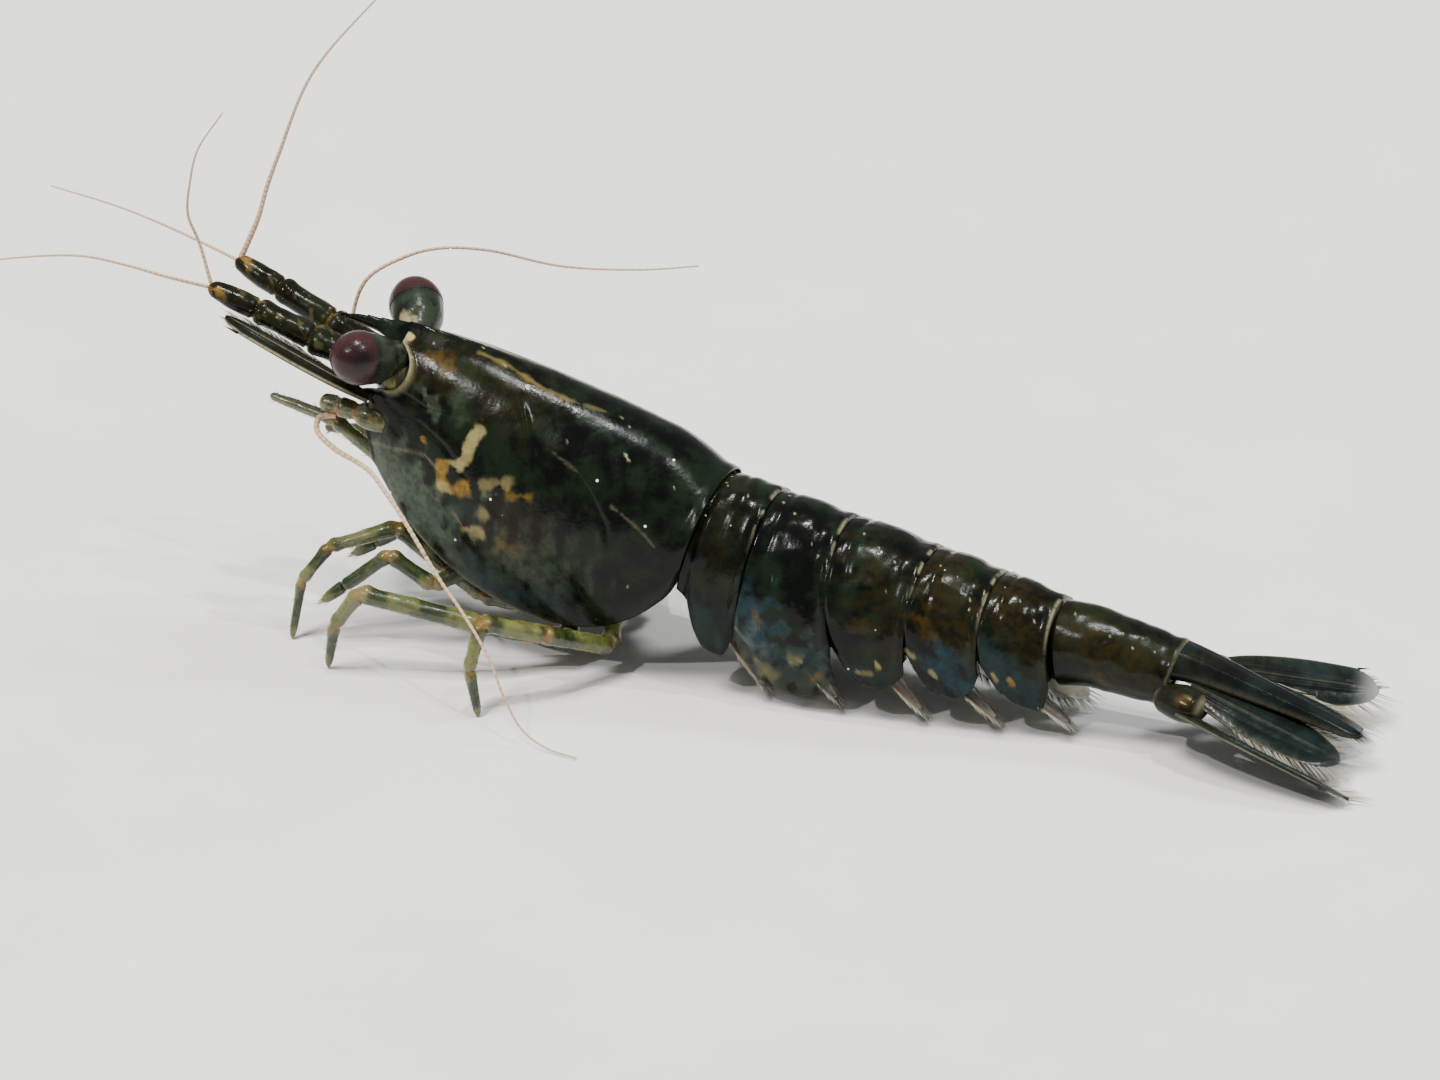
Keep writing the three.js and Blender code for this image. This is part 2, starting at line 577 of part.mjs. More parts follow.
function feeler(route, sign, steps) {
  const size = [FLAGELLUM_RADIUS, FLAGELLUM_RADIUS * 0.92];
  const path = route.map((place) => onSide(place, sign));
  return sweep(path, () => size, { steps, level: at(0.3, 1, 0.2), bias: 0 });
}

// The long antenna is one smooth route in two lengths, with a gap where they meet.
function antennaLengths(side) {
  const [name, sign] = side;
  const route = ANTENNA[name].map((place) => onSide(place, sign));
  const curve = new THREE.CatmullRomCurve3(route, false, "centripetal");
  const gap = GAP / curve.getLength();
  const size = () => [FLAGELLUM_RADIUS, FLAGELLUM_RADIUS];
  return [[0, ANTENNA_SPLIT - gap], [ANTENNA_SPLIT, 1]].map(([from, to]) => {
    return sweep(route, size, { fractions: spread(from, to, 8), level: at(0.2, 1, 0.1) })
      .subtract(belowFloor());
  });
}

// ---- The animal ------------------------------------------------------------------------------

const shrimp = new THREE.Group();
shrimp.name = "shrimp";

function place(name, finish, solid) {
  const mesh = solid.getMesh();
  const geometry = new THREE.BufferGeometry();
  const stride = mesh.numProp;
  const positions = Array.from({ length: mesh.numVert }, (_, i) => {
    return Array.from(mesh.vertProperties.slice(i * stride, i * stride + 3));
  });
  geometry.setAttribute("position", new THREE.Float32BufferAttribute(positions.flat(), 3));
  geometry.setIndex(Array.from(mesh.triVerts));
  geometry.computeVertexNormals();
  const part = new THREE.Mesh(geometry, new THREE.MeshStandardMaterial({ ...FINISHES[finish], metalness: 0 }));
  part.name = name;
  shrimp.add(part);
}

function placeTrunk() {
  place("carapace", "shell", carapace());
  place("rostrum", "shell", rostrum());
  place("underbody", "soft_shell", underbody());
  SEGMENTS.forEach((_, index) => place(`abdomen_${index + 1}`, "shell", abdomenSegment(index)));
  place("abdomen_6", "shell", tailSegment());
  place("telson", "fan", telson());
}

function placeHead(side) {
  const [name, sign] = side;
  place(`eye_${name}`, "eye", ball(eyePlace(sign), EYE.radius));
  place(`eyestalk_${name}`, "soft_shell", eyestalk(side));
  place(`antennule_base_${name}`, "limb", peduncle(side));
  place(`antennule_outer_${name}`, "feeler", feeler(OUTER_FEELER[name], sign, 10));
  place(`antennule_inner_${name}`, "feeler", feeler(INNER_FEELER[name], sign, 10));
  place(`antenna_scale_${name}`, "fan", scale(side));
  place(`antenna_base_${name}`, "limb", antennaBase(side));
  antennaLengths(side).forEach((length, i) => place(`antenna_${i + 1}_${name}`, "feeler", length));
  place(`maxilliped_${name}`, "limb", maxilliped(side));
}

function placeLimbs(side) {
  const [name] = side;
  [0, 1].forEach((index) => place(`cheliped_${index + 1}_${name}`, "limb", cheliped(index, side)));
  [0, 1, 2].forEach((index) => place(`walking_leg_${index + 3}_${name}`, "limb", walkingLeg(index, side)));
  SEGMENTS.forEach((_, index) => place(`pleopod_${index + 1}_${name}`, "paddle", pleopod(index, side)));
}

function placeFan(side) {
  const [name, sign] = side;
  const { protopod, endopod, exopod } = UROPOD;
  place(`uropod_base_${name}`, "fan", blade(protopod, sign, { steps: 3 }));
  place(`uropod_inner_${name}`, "fan", blade(endopod, sign, { roll: FAN_ROLL.inner }));
  place(`uropod_outer_${name}`, "fan", blade(exopod[name], sign, { roll: FAN_ROLL.outer }).subtract(belowFloor()));
}

placeTrunk();
Object.entries(SIDES).forEach((side) => {
  placeHead(side);
  placeLimbs(side);
  placeFan(side);
});

// The origin is the middle of the footprint, on the floor.
const bounds = new THREE.Box3().setFromObject(shrimp);
const middle = bounds.getCenter(at(0, 0, 0));
shrimp.position.set(-middle.x, -middle.y, -bounds.min.z);

export default shrimp;
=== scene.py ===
"""A dwarf freshwater shrimp, life-size, standing on its walking legs and its tail fan.

Shapes are worked out in millimetres and put into meshes in metres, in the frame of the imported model:
the head points to -X, the animal's left side faces -Y and the floor is z = 0. The trunk is drawn
straight, in body places (along, across, up) whose zero is the middle of the carapace's rear edge,
and Stance.posed() bends and tilts it. Limbs and feelers run through standing places, which have the
same zero on the floor.
"""
import logging
import math
from dataclasses import dataclass, field
from enum import Enum
from typing import Callable, Sequence

import bpy
import numpy as np
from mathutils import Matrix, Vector


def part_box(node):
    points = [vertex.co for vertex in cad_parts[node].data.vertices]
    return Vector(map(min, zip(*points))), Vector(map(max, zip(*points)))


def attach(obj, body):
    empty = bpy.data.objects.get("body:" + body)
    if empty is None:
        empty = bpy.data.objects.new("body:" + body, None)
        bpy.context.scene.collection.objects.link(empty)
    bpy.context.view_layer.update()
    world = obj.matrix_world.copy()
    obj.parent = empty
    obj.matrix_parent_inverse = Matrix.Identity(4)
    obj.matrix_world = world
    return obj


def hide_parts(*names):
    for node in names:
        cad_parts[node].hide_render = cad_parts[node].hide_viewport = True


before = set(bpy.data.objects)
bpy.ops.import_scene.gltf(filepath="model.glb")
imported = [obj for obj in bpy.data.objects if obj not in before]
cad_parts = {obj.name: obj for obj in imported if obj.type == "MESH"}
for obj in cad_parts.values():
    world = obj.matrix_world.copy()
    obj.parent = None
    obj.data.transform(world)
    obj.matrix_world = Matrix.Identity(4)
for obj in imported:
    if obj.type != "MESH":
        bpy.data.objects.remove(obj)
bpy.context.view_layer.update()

MM = 0.001  # metres in a millimetre
GAP = 0.1  # clear space between the solids, which the shells here bridge
HAIR_PATCH = 0.003  # width of each hair's own patch on the unwrap that its finish is baked on
LOG = logging.getLogger("shrimp")

Array = np.ndarray
Pair = tuple[float, float]
Triple = tuple[float, float, float]
Pairs = Sequence[Pair]
Place = Sequence[float]


class Side(Enum):
    """The animal's two sides, with the sign of its across places."""

    LEFT = -1
    RIGHT = 1

    @property
    def word(self) -> str:
        """The ending of the side's node names."""
        return self.name.lower()


class Tint(Enum):
    """What is painted on a shell: the first four go into "Paint" and the others into "Spots"."""

    PALE = 0
    CREAM = 1
    AMBER = 2
    BLUE = 3
    # seams, and also the flecks of painted highlight
    SEAM = 4
    CLEAR = 5
    OLIVE = 6
    # painted glints: where more golden specks of painted highlight are laid
    GLITTER = 7


# ---- Curves and surfaces as arrays ----


def hermite(t: Array, start: Array, leaving: Array, end: Array, arriving: Array) -> Array:
    """The cubic from start to end as t runs from 0 to 1, with its slopes at the two ends."""
    return (
        start * (1 + 2 * t) * (1 - t) ** 2
        + leaving * t * (1 - t) ** 2
        + end * t**2 * (3 - 2 * t)
        + arriving * t**2 * (t - 1)
    )


def profile(pairs: Pairs) -> Callable[[Array], Array]:
    """Makes a smooth function through pairs: cubic pieces whose slopes come from the neighbours.

    Args:
        pairs: places in rising order, each with its value.

    Returns:
        The function, which holds its end values outside the pairs.
    """
    places, values = np.array(pairs, float).T
    before = np.maximum(np.arange(len(places)) - 1, 0)
    after = np.minimum(np.arange(len(places)) + 1, len(places) - 1)
    slopes = (values[after] - values[before]) / (places[after] - places[before])

    def value(place: Array) -> Array:
        """The value at each place."""
        here = np.clip(place, places[0], places[-1])
        i = np.clip(np.searchsorted(places, here, side="right") - 1, 0, len(places) - 2)
        width = places[i + 1] - places[i]
        t = (here - places[i]) / width
        return hermite(t, values[i], slopes[i] * width, values[i + 1], slopes[i + 1] * width)

    return value


def rise(value: Array, low: float, high: float) -> Array:
    """0 below low, 1 above high and an S-curve between them (high may be the smaller)."""
    t = held((value - low) / (high - low))
    return t * t * (3 - 2 * t)


def bump(value: Array, width: float) -> Array:
    """A bell of height 1 round zero: exp(-(value / width) squared)."""
    return np.exp(-((value / width) ** 2))


def mix(low: Array, high: Array, share: Array) -> Array:
    """The value at a share of the way from low to high."""
    return low + (high - low) * share


def unit(vectors: Array) -> Array:
    """The vectors at length 1."""
    return vectors / np.maximum(np.linalg.norm(vectors, axis=-1, keepdims=True), 1e-12)


def signed_power(value: Array, power: float) -> Array:
    """The value's size to a power, with the value's sign."""
    return np.sign(value) * np.abs(value) ** power


def steps(count: int) -> Array:
    """Even steps from 0 to 1."""
    return np.linspace(0, 1, count)


def held(value: Array) -> Array:
    """The value, held between 0 and 1."""
    return np.clip(value, 0, 1)


def stacked(*parts: Array) -> Array:
    """Coordinates or values side by side as the last axis."""
    return np.stack(np.broadcast_arrays(*parts), axis=-1)


def around_once(count: int) -> Array:
    """Evenly spaced turns round a full circle, in radians."""
    return np.linspace(0, 2 * math.pi, count, endpoint=False)


def waves(points: Array, pitch: float, seed: int, octaves: int = 3) -> Array:
    """Smooth noise between about -1 and 1: sums of sines along random directions.

    Args:
        points: places of any shape, with the coordinates last.
        pitch: the size of the largest lumps, in the points' units.
        seed: picks the directions.
        octaves: how many times finer lumps are added, at half the height.

    Returns:
        The noise at each place.
    """
    draw = np.random.default_rng(seed)
    total = np.zeros(points.shape[:-1])
    for octave in range(octaves):
        for _ in range(4):
            way = unit(draw.normal(size=points.shape[-1])) * 2 * math.pi * 2**octave / pitch
            total += np.sin(points @ way + draw.uniform(0, 2 * math.pi)) * 0.5**octave / 2.6
    return total


def travelled(points: Array) -> Array:
    """How far along a line each of its points lies."""
    return np.concatenate([[0], np.cumsum(np.linalg.norm(np.diff(points, axis=0), axis=1))])


def resampled(points: Array, count: int) -> Array:
    """Evenly spaced points along a line of points."""
    length = travelled(points)
    at = np.linspace(0, length[-1], count)
    return np.stack([np.interp(at, length, axis) for axis in points.T], axis=1)


def flowing(points: Sequence[Place], count: int) -> Array:
    """A smooth line through points: a centripetal Catmull-Rom spline at even steps.

    Args:
        points: the places it passes.
        count: how many points come back.

    Returns:
        The line, one place in each row.
    """
    p = np.asarray(points, float)
    p = np.vstack([2 * p[0] - p[1], p, 2 * p[-1] - p[-2]])
    gaps = np.sqrt(np.linalg.norm(np.diff(p, axis=0), axis=1))
    t = steps(40)[:, None]
    spans = []
    for i in range(1, len(p) - 2):
        g0, g1, g2 = gaps[i - 1 : i + 2]
        chord = p[i + 1] - p[i]
        leaving = ((p[i] - p[i - 1]) / g0 - (p[i + 1] - p[i - 1]) / (g0 + g1)) * g1 + chord
        arriving = chord - ((p[i + 2] - p[i]) / (g1 + g2) - (p[i + 2] - p[i + 1]) / g2) * g1
        spans.append(hermite(t, p[i], leaving, p[i + 1], arriving))
    return resampled(np.vstack(spans), count)


def jointed(points: Sequence[Place], count: int, rounding: float = 0.16) -> Array:
    """Straight lengths between points, with corners rounded by a bell-shaped running mean.

    Args:
        points: the places of the joints, first and last included.
        count: how many points come back.
        rounding: the bell's half width, in millimetres.

    Returns:
        The line, one place in each row.
    """
    p = np.asarray(points, float)
    step = 0.03
    fine = resampled(p, max(int(travelled(p)[-1] / step), 20))
    reach = int(3 * rounding / step)
    first = 2 * fine[0] - fine[reach:0:-1]
    last = 2 * fine[-1] - fine[-2 : -2 - reach : -1]
    weights = bump(np.arange(-reach, reach + 1) * step, rounding)
    weights /= weights.sum()
    padded = np.vstack([first, fine, last])
    smooth = np.stack([np.convolve(axis, weights, mode="valid") for axis in padded.T], axis=1)
    return resampled(smooth, count)


def directions(path: Array, level: Place) -> tuple[Array, Array, Array]:
    """Three directions at right angles at each point of a path.

    Args:
        path: the points.
        level: the direction that "across" keeps closest to.

    Returns:
        Along the path, across it and up from it.
    """
    along = unit(np.gradient(path, axis=0))
    level = np.asarray(level, float)
    across = unit(level - along * (along @ level)[:, None])
    return along, across, np.cross(along, across)


def distance_to(points: Array, line: Sequence[Place]) -> tuple[Array, Array]:
    """How far points lie from a bent line, in the plane, and where along it.

    Args:
        points: (..., 2) places.
        line: the line's corners.

    Returns:
        The least distance to the line's straight pieces, and the fraction along it there.
    """
    corners = np.asarray(line, float)
    best = np.full(points.shape[:-1], np.inf)
    where = np.zeros(points.shape[:-1])
    pieces = len(corners) - 1
    for i in range(pieces):
        piece = corners[i + 1] - corners[i]
        t = held((points - corners[i]) @ piece / max(piece @ piece, 1e-9))
        away = np.linalg.norm(points - corners[i] - t[..., None] * piece, axis=-1)
        where = np.where(away < best, (i + t) / pieces, where)
        best = np.minimum(away, best)
    return best, where


# ---- Meshes ----


@dataclass
class Surface:
    """Points in millimetres, faces of three or four corners, and the tints painted on the points."""

    points: Array
    faces: list[Array]
    tints: Array | None = None
    bake_places: Array | None = None

    def __post_init__(self) -> None:
        """Points without tints get none of any."""
        if self.tints is None:
            self.tints = np.zeros((len(self.points), len(Tint)))

    def outward(self) -> "Surface":
        """Turns the faces outwards: flips them if the volume that they hold comes out negative."""
        volume = 0.0
        for faces in self.faces:
            for k in range(1, faces.shape[1] - 1):
                a, b, c = (self.points[faces[:, i]] for i in (0, k, k + 1))
                volume += np.einsum("ij,ij->", a, np.cross(b, c))
        if volume < 0:
            self.faces = [faces[:, ::-1] for faces in self.faces]
        return self


def joined(surfaces: Sequence[Surface]) -> Surface:
    """Several surfaces as one, with places to bake on where all of them have such places."""
    offsets = np.cumsum([0] + [len(s.points) for s in surfaces[:-1]])
    baked = [s.bake_places for s in surfaces]
    return Surface(
        np.vstack([s.points for s in surfaces]),
        [faces + offset for s, offset in zip(surfaces, offsets) for faces in s.faces],
        np.vstack([s.tints for s in surfaces]),
        None if any(b is None for b in baked) else np.vstack(baked),
    )


def coat(shape: tuple[int, ...], *values: Array, **tints: Array) -> Array:
    """Tints for a grid of points, 0 where nothing is given.

    Args:
        shape: the grid's shape.
        values: values for the first tints, in order, for finishes that name them their own way.
        tints: values by the name of the tint.

    Returns:
        The values of every tint, with the tint last.
    """
    painted = np.zeros((*shape, len(Tint)))
    for index, value in enumerate(values):
        painted[..., index] = value
    for name, value in tints.items():
        painted[..., Tint[name.upper()].value] = value
    return painted


def heighten(tints: Array, tint: Tint, value: Array) -> None:
    """Raises one tint to a value where it is less."""
    layer = tints[..., tint.value]
    np.maximum(layer, value, out=layer)


def quads(rows: int, columns: int, wrap: bool = False) -> Array:
    """The faces between neighbouring points of a grid, which may close round its columns."""
    i = np.arange(rows - 1)[:, None] * columns
    j = np.arange(columns if wrap else columns - 1)[None, :]
    k = (j + 1) % columns
    return stacked(i + j, i + k, i + columns + k, i + columns + j).reshape(-1, 4)


def tube(rings: Array, tints: Array | None = None) -> Surface:
    """A closed skin over rings of points, with a middle point closing each end.

    Args:
        rings: (rings, points round each, 3).
        tints: the same points' tints.

    Returns:
        The closed surface.
    """
    rows, columns, _ = rings.shape
    count = rows * columns
    j = np.arange(columns)
    k = (j + 1) % columns
    first = np.stack([np.full(columns, count), k, j], axis=1)
    last = np.stack([np.full(columns, count + 1), count - columns + j, count - columns + k], axis=1)

    def ended(grid: Array) -> Array:
        """The grid's points in one list, with the two middle points added."""
        return np.vstack([grid.reshape(count, -1), grid[[0, -1]].mean(axis=1)])

    faces = [quads(rows, columns, True), first, last]
    return Surface(ended(rings), faces, None if tints is None else ended(tints)).outward()


def plate(outer: Array, inner: Array, tints: Array) -> Surface:
    """A closed plate between two grids of equal size, walled round its four edges.

    Args:
        outer: (rows, columns, 3), the side that shows.
        inner: the same for the back.
        tints: the outer grid's tints, which the back shares.

    Returns:
        The closed surface.
    """
    rows, columns, _ = outer.shape
    count = rows * columns
    number = np.arange(count).reshape(rows, columns)
    rim = np.concatenate([number[0], number[1:, -1], number[-1, -2::-1], number[-2:0:-1, 0]])
    after = np.roll(rim, -1)
    wall = np.stack([after, rim, rim + count, after + count], axis=1)
    front = quads(rows, columns)
    points, tints = (np.stack(pair).reshape(2 * count, -1) for pair in ((outer, inner), (tints, tints)))
    return Surface(points, [front, front[:, ::-1] + count, wall], tints).outward()


def ringed(path: Array, wide: Array, high: Array, sides: int, level: Place = (0, 1, 0)) -> Array:
    """Elliptical rings along a path: centre + across wide cos(turn) + up high sin(turn)."""
    _, across, up = directions(path, level)
    turn = around_once(sides)[None, :, None]
    wide = np.broadcast_to(wide, len(path))[:, None, None]
    high = np.broadcast_to(high, len(path))[:, None, None]
    return path[:, None] + across[:, None] * wide * np.cos(turn) + up[:, None] * high * np.sin(turn)


def roughened(rings: Array, path: Array, radius: Array, depth: float, pitch: float, seed: int) -> Array:
    """Rings pushed in and out by noise, to a share (depth) of the tube's radius."""
    push = radius[:, None] * waves(rings, pitch, seed)
    return rings + depth * push[..., None] * unit(rings - path[:, None])


def rounded_ends(t: Array, start: float, end: float) -> Array:
    """A factor that closes a tube in round ends: a quarter ellipse over each end's share of it."""
    near = np.sqrt(np.clip(1 - (1 - held(t / max(start, 1e-9))) ** 2, 0.002, 1))
    far = np.sqrt(np.clip(1 - (1 - held((1 - t) / max(end, 1e-9))) ** 2, 0.002, 1))
    return near * far


def bristles(
    roots: Array, ways: Array, lengths: Array, radius: float, droop: float = 0.0, places: Array | None = None
) -> Surface:
    """Many tapering hairs as one surface: three-sided cones that sink by droop times t squared.

    Args:
        roots: (hairs, 3) where they grow.
        ways: (hairs, 3) the directions that they start in.
        lengths: (hairs,) in millimetres.
        radius: at the root.
        droop: how far a hair's tip sinks, as a share of its length.
        places: (hairs, 2) the roots' places on an unwrap of what they grow from.

    Returns:
        The hairs, whose first tint runs from 0 at the root to 1 at the tip.
    """
    hairs = len(roots)
    ways = unit(ways)
    t = np.array([0, 0.3, 0.65])
    sink = np.array([0.0, 0.0, -droop])
    reach = lengths[:, None, None]
    bend = sink * reach * (t**2)[None, :, None]
    centres = roots[:, None] + ways[:, None] * (reach * t[None, :, None]) + bend
    tips = roots + ways * lengths[:, None] + sink * lengths[:, None]
    helper = np.where(np.abs(ways[:, 2:3]) > 0.8, [[1.0, 0, 0]], [[0, 0, 1.0]])
    across = unit(np.cross(ways, helper))[:, None]
    up = np.cross(ways, across[:, 0])[:, None]
    turn = np.arange(3)[None, :, None] * 2 * math.pi / 3
    ring = across * np.cos(turn) + up * np.sin(turn)
    size = radius * (1 - t * 0.8)
    rings = centres[:, :, None] + ring[:, None] * size[None, :, None, None]
    points = np.concatenate([rings.reshape(hairs, 9, 3), tips[:, None]], axis=1)
    corners = (quads(3, 3, True), np.array([[6, 7, 9], [7, 8, 9], [8, 6, 9]]), np.array([[0, 2, 1]]))
    base = np.arange(hairs)[:, None, None] * 10
    faces = [(some[None] + base).reshape(-1, some.shape[1]) for some in corners]
    tints = coat((hairs, 10), np.concatenate([np.repeat(t, 3), [1]])).reshape(-1, len(Tint))
    if places is not None:
        patch = np.array([[0, 0], [1, 0], [0, 1]] * 3 + [[1, 1]]) * HAIR_PATCH
        places = (places[:, None] + patch[None]).reshape(-1, 2)
    return Surface(points.reshape(-1, 3), faces, tints, places).outward()


def piece(name: str, surface: Surface, material: bpy.types.Material, slot: str, solid: bool = True) -> None:
    """Puts a surface into the scene, on the body.

    Args:
        name: the piece's name.
        surface: its shape, in millimetres.
        material: its finish.
        slot: the record's material slot, which is not used.
        solid: whether it replaces the solid of the same name.
    """
    mesh = bpy.data.meshes.new(name)
    corners = np.concatenate([faces.ravel() for faces in surface.faces])
    sizes = np.concatenate([np.full(len(faces), faces.shape[1]) for faces in surface.faces])
    mesh.vertices.add(len(surface.points))
    mesh.vertices.foreach_set("co", (surface.points * MM).astype(np.float32).ravel())
    mesh.loops.add(len(corners))
    mesh.loops.foreach_set("vertex_index", corners.astype(np.int32))
    mesh.polygons.add(len(sizes))
    mesh.polygons.foreach_set("loop_start", (np.cumsum(sizes) - sizes).astype(np.int32))
    mesh.update(calc_edges=True)
    mesh.shade_smooth()
    for label, values in (("Paint", surface.tints[:, :4]), ("Spots", surface.tints[:, 4:])):
        layer = mesh.color_attributes.new(label, "FLOAT_COLOR", "POINT")
        layer.data.foreach_set("color", values.astype(np.float32).ravel())
    if surface.bake_places is not None:
        uv = mesh.uv_layers.new(name="OFBake")
        uv.data.foreach_set("uv", surface.bake_places[corners].astype(np.float32).ravel())
    mesh.materials.append(material)
    item = bpy.data.objects.new(name, mesh)
    bpy.context.scene.collection.objects.link(item)
    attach(item, "root")
    if solid:
        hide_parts(name)
    LOG.info("%s: %d points", name, len(surface.points))


# ---- The stance ----


@dataclass(frozen=True)
class Bend:
    """One bend of the body axis: an arc from start over a length, turning by pitch degrees."""

    start: float
    length: float
    pitch: float

    def applied(self, places: Array) -> Array:
        """Body places after the bend: on the arc within it, straight before and after."""
        total = math.radians(self.pitch)
        along = np.clip(places[..., 0] - self.start, 0, self.length)
        turn = total * along / self.length
        radius = self.length / total
        rest = places[..., 0] - self.start - along
        up = places[..., 2]
        return np.stack(
            [
                self.start + radius * np.sin(turn) + rest * np.cos(turn) + up * np.sin(turn),
                places[..., 1],
                -radius * (1 - np.cos(turn)) - rest * np.sin(turn) + up * np.cos(turn),
            ],
            axis=-1,
        )


@dataclass
class Stance:
    """How the animal stands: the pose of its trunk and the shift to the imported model's origin."""

    height: float = 5.1
    head_pitch: float = 17.0
    bends: tuple[Bend, ...] = (Bend(11.4, 1.6, 8.0), Bend(-0.2, 1.6, -5.0))
    eye: Triple = (-8.6, 1.62, -0.4)
    shift: Array = field(default_factory=lambda: np.zeros(3))

    def __post_init__(self) -> None:
        """The shift is what brings the left eye's place to the middle of its solid."""
        low, high = (np.array(corner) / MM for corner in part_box("eye_left"))
        self.shift = (low + high) / 2 - self.posed(np.array([self.eye]), Side.LEFT)[0]

    def posed(self, places: Array, side: Side = Side.RIGHT) -> Array:
        """Body places in the standing pose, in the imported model's frame, in millimetres."""
        places = np.array(places, float)
        places[..., 1] *= side.value
        for bend in self.bends:
            places = bend.applied(places)
        pitch = math.radians(self.head_pitch)
        along, across, up = np.moveaxis(places, -1, 0)
        turned = [
            along * math.cos(pitch) + up * math.sin(pitch),
            across,
            up * math.cos(pitch) - along * math.sin(pitch) + self.height,
        ]
        return np.stack(turned, axis=-1) + self.shift

    def standing(self, places: Sequence[Place], side: Side) -> Array:
        """Standing places (along, out from the middle, height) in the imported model's frame."""
        places = np.array(places, float)
        places[..., 1] *= side.value
        return places + self.shift

    def turned(self, ways: Array, side: Side = Side.RIGHT) -> Array:
        """Directions given for the straight front half of the body, in the standing pose."""
        base = np.array([[-4.0, 0.0, 0.0]])
        return self.posed(base + ways, side) - self.posed(base, side)


STANCE = Stance()


# ---- Markings ----


@dataclass(frozen=True)
class Mark:
    """A ragged-edged mark along a line of (along, down) places on a shell, on both sides.

    "Down" is the distance over the shell from the middle of the back, in millimetres.
    """

    tint: Tint
    line: tuple[Pair, ...]
    width: float
    strength: float
    soft: float
    ragged: float

    def shares(self, places: Array, noise: Array) -> Array:
        """How strongly the mark covers each place: 1 within its ragged edge, fading over soft."""
        away, _ = distance_to(places, self.line)
        edge = self.width * np.maximum(1 + self.ragged * noise, 0.1)
        return self.strength * (1 - rise(away / edge, 1 - self.soft, 1 + self.soft))


def painted(marks: Sequence[Mark], along: Array, down: Array, seed: int) -> Array:
    """Paints marks on the points of a shell, the strongest of each tint winning where they cross.

    Args:
        marks: the marks.
        along: body places of the points.
        down: signed distances over the shell from the middle of the back.
        seed: of the ragged edges, which differ from side to side.

    Returns:
        The points' tints.
    """
    places = stacked(along, np.abs(down))
    noise = waves(stacked(along, down), 0.6, seed)
    tints = coat(along.shape)
    for mark in marks:
        heighten(tints, mark.tint, mark.shares(places, noise))
    return tints


# ---- The trunk ----


def arch(top: Array, bottom: Array, half_width: Array, centring: float, share: Array) -> tuple[Array, Array]:
    """A shell section's places: half_width sin(turn) across and centre + half cos(turn) up.

    Args:
        top: height of the back.
        bottom: height of the lower edges.
        half_width: half the width where the section is widest.
        centring: how far down its height that is, as a share.
        share: -1 at one lower edge, 0 on the back and 1 at the other edge.

    Returns:
        The places across and up.
    """
    half = (top - bottom) * centring
    centre = top - half
    turn = share * np.arccos(np.clip((bottom - centre) / half, -1, 1))
    return half_width * np.sin(turn), centre + half * np.cos(turn)


def down_the_side(points: Array) -> Array:
    """Signed distance over a shell from its middle column, along each row."""
    steps = np.linalg.norm(np.diff(points, axis=1), axis=2)
    length = np.concatenate([np.zeros((len(points), 1)), np.cumsum(steps, axis=1)], axis=1)
    return length - length[:, [points.shape[1] // 2]]


def shell_normals(outer: Array) -> Array:
    """A shell's outward directions: the cross product of its grid's two slopes, up on the back."""
    normals = unit(np.cross(np.gradient(outer, axis=0), np.gradient(outer, axis=1)))
    return normals * np.sign(normals[len(outer) // 2, outer.shape[1] // 2, 2])


# Grooves of the shield: (along, down) lines, depth and half width.
SHIELD_GROOVES = (
    (((-4.75, 1.1), (-4.3, 1.75), (-3.9, 2.1)), 0.05, 0.08),
    (((-3.3, 1.9), (-2.4, 2.4), (-1.7, 3.0), (-1.3, 3.7)), 0.045, 0.07),
    (((-6.9, 2.6), (-6.1, 2.9), (-5.2, 3.6)), 0.035, 0.06),
    (((-7.7, 1.9), (-6.9, 2.1), (-6.0, 2.0)), 0.03, 0.07),
)


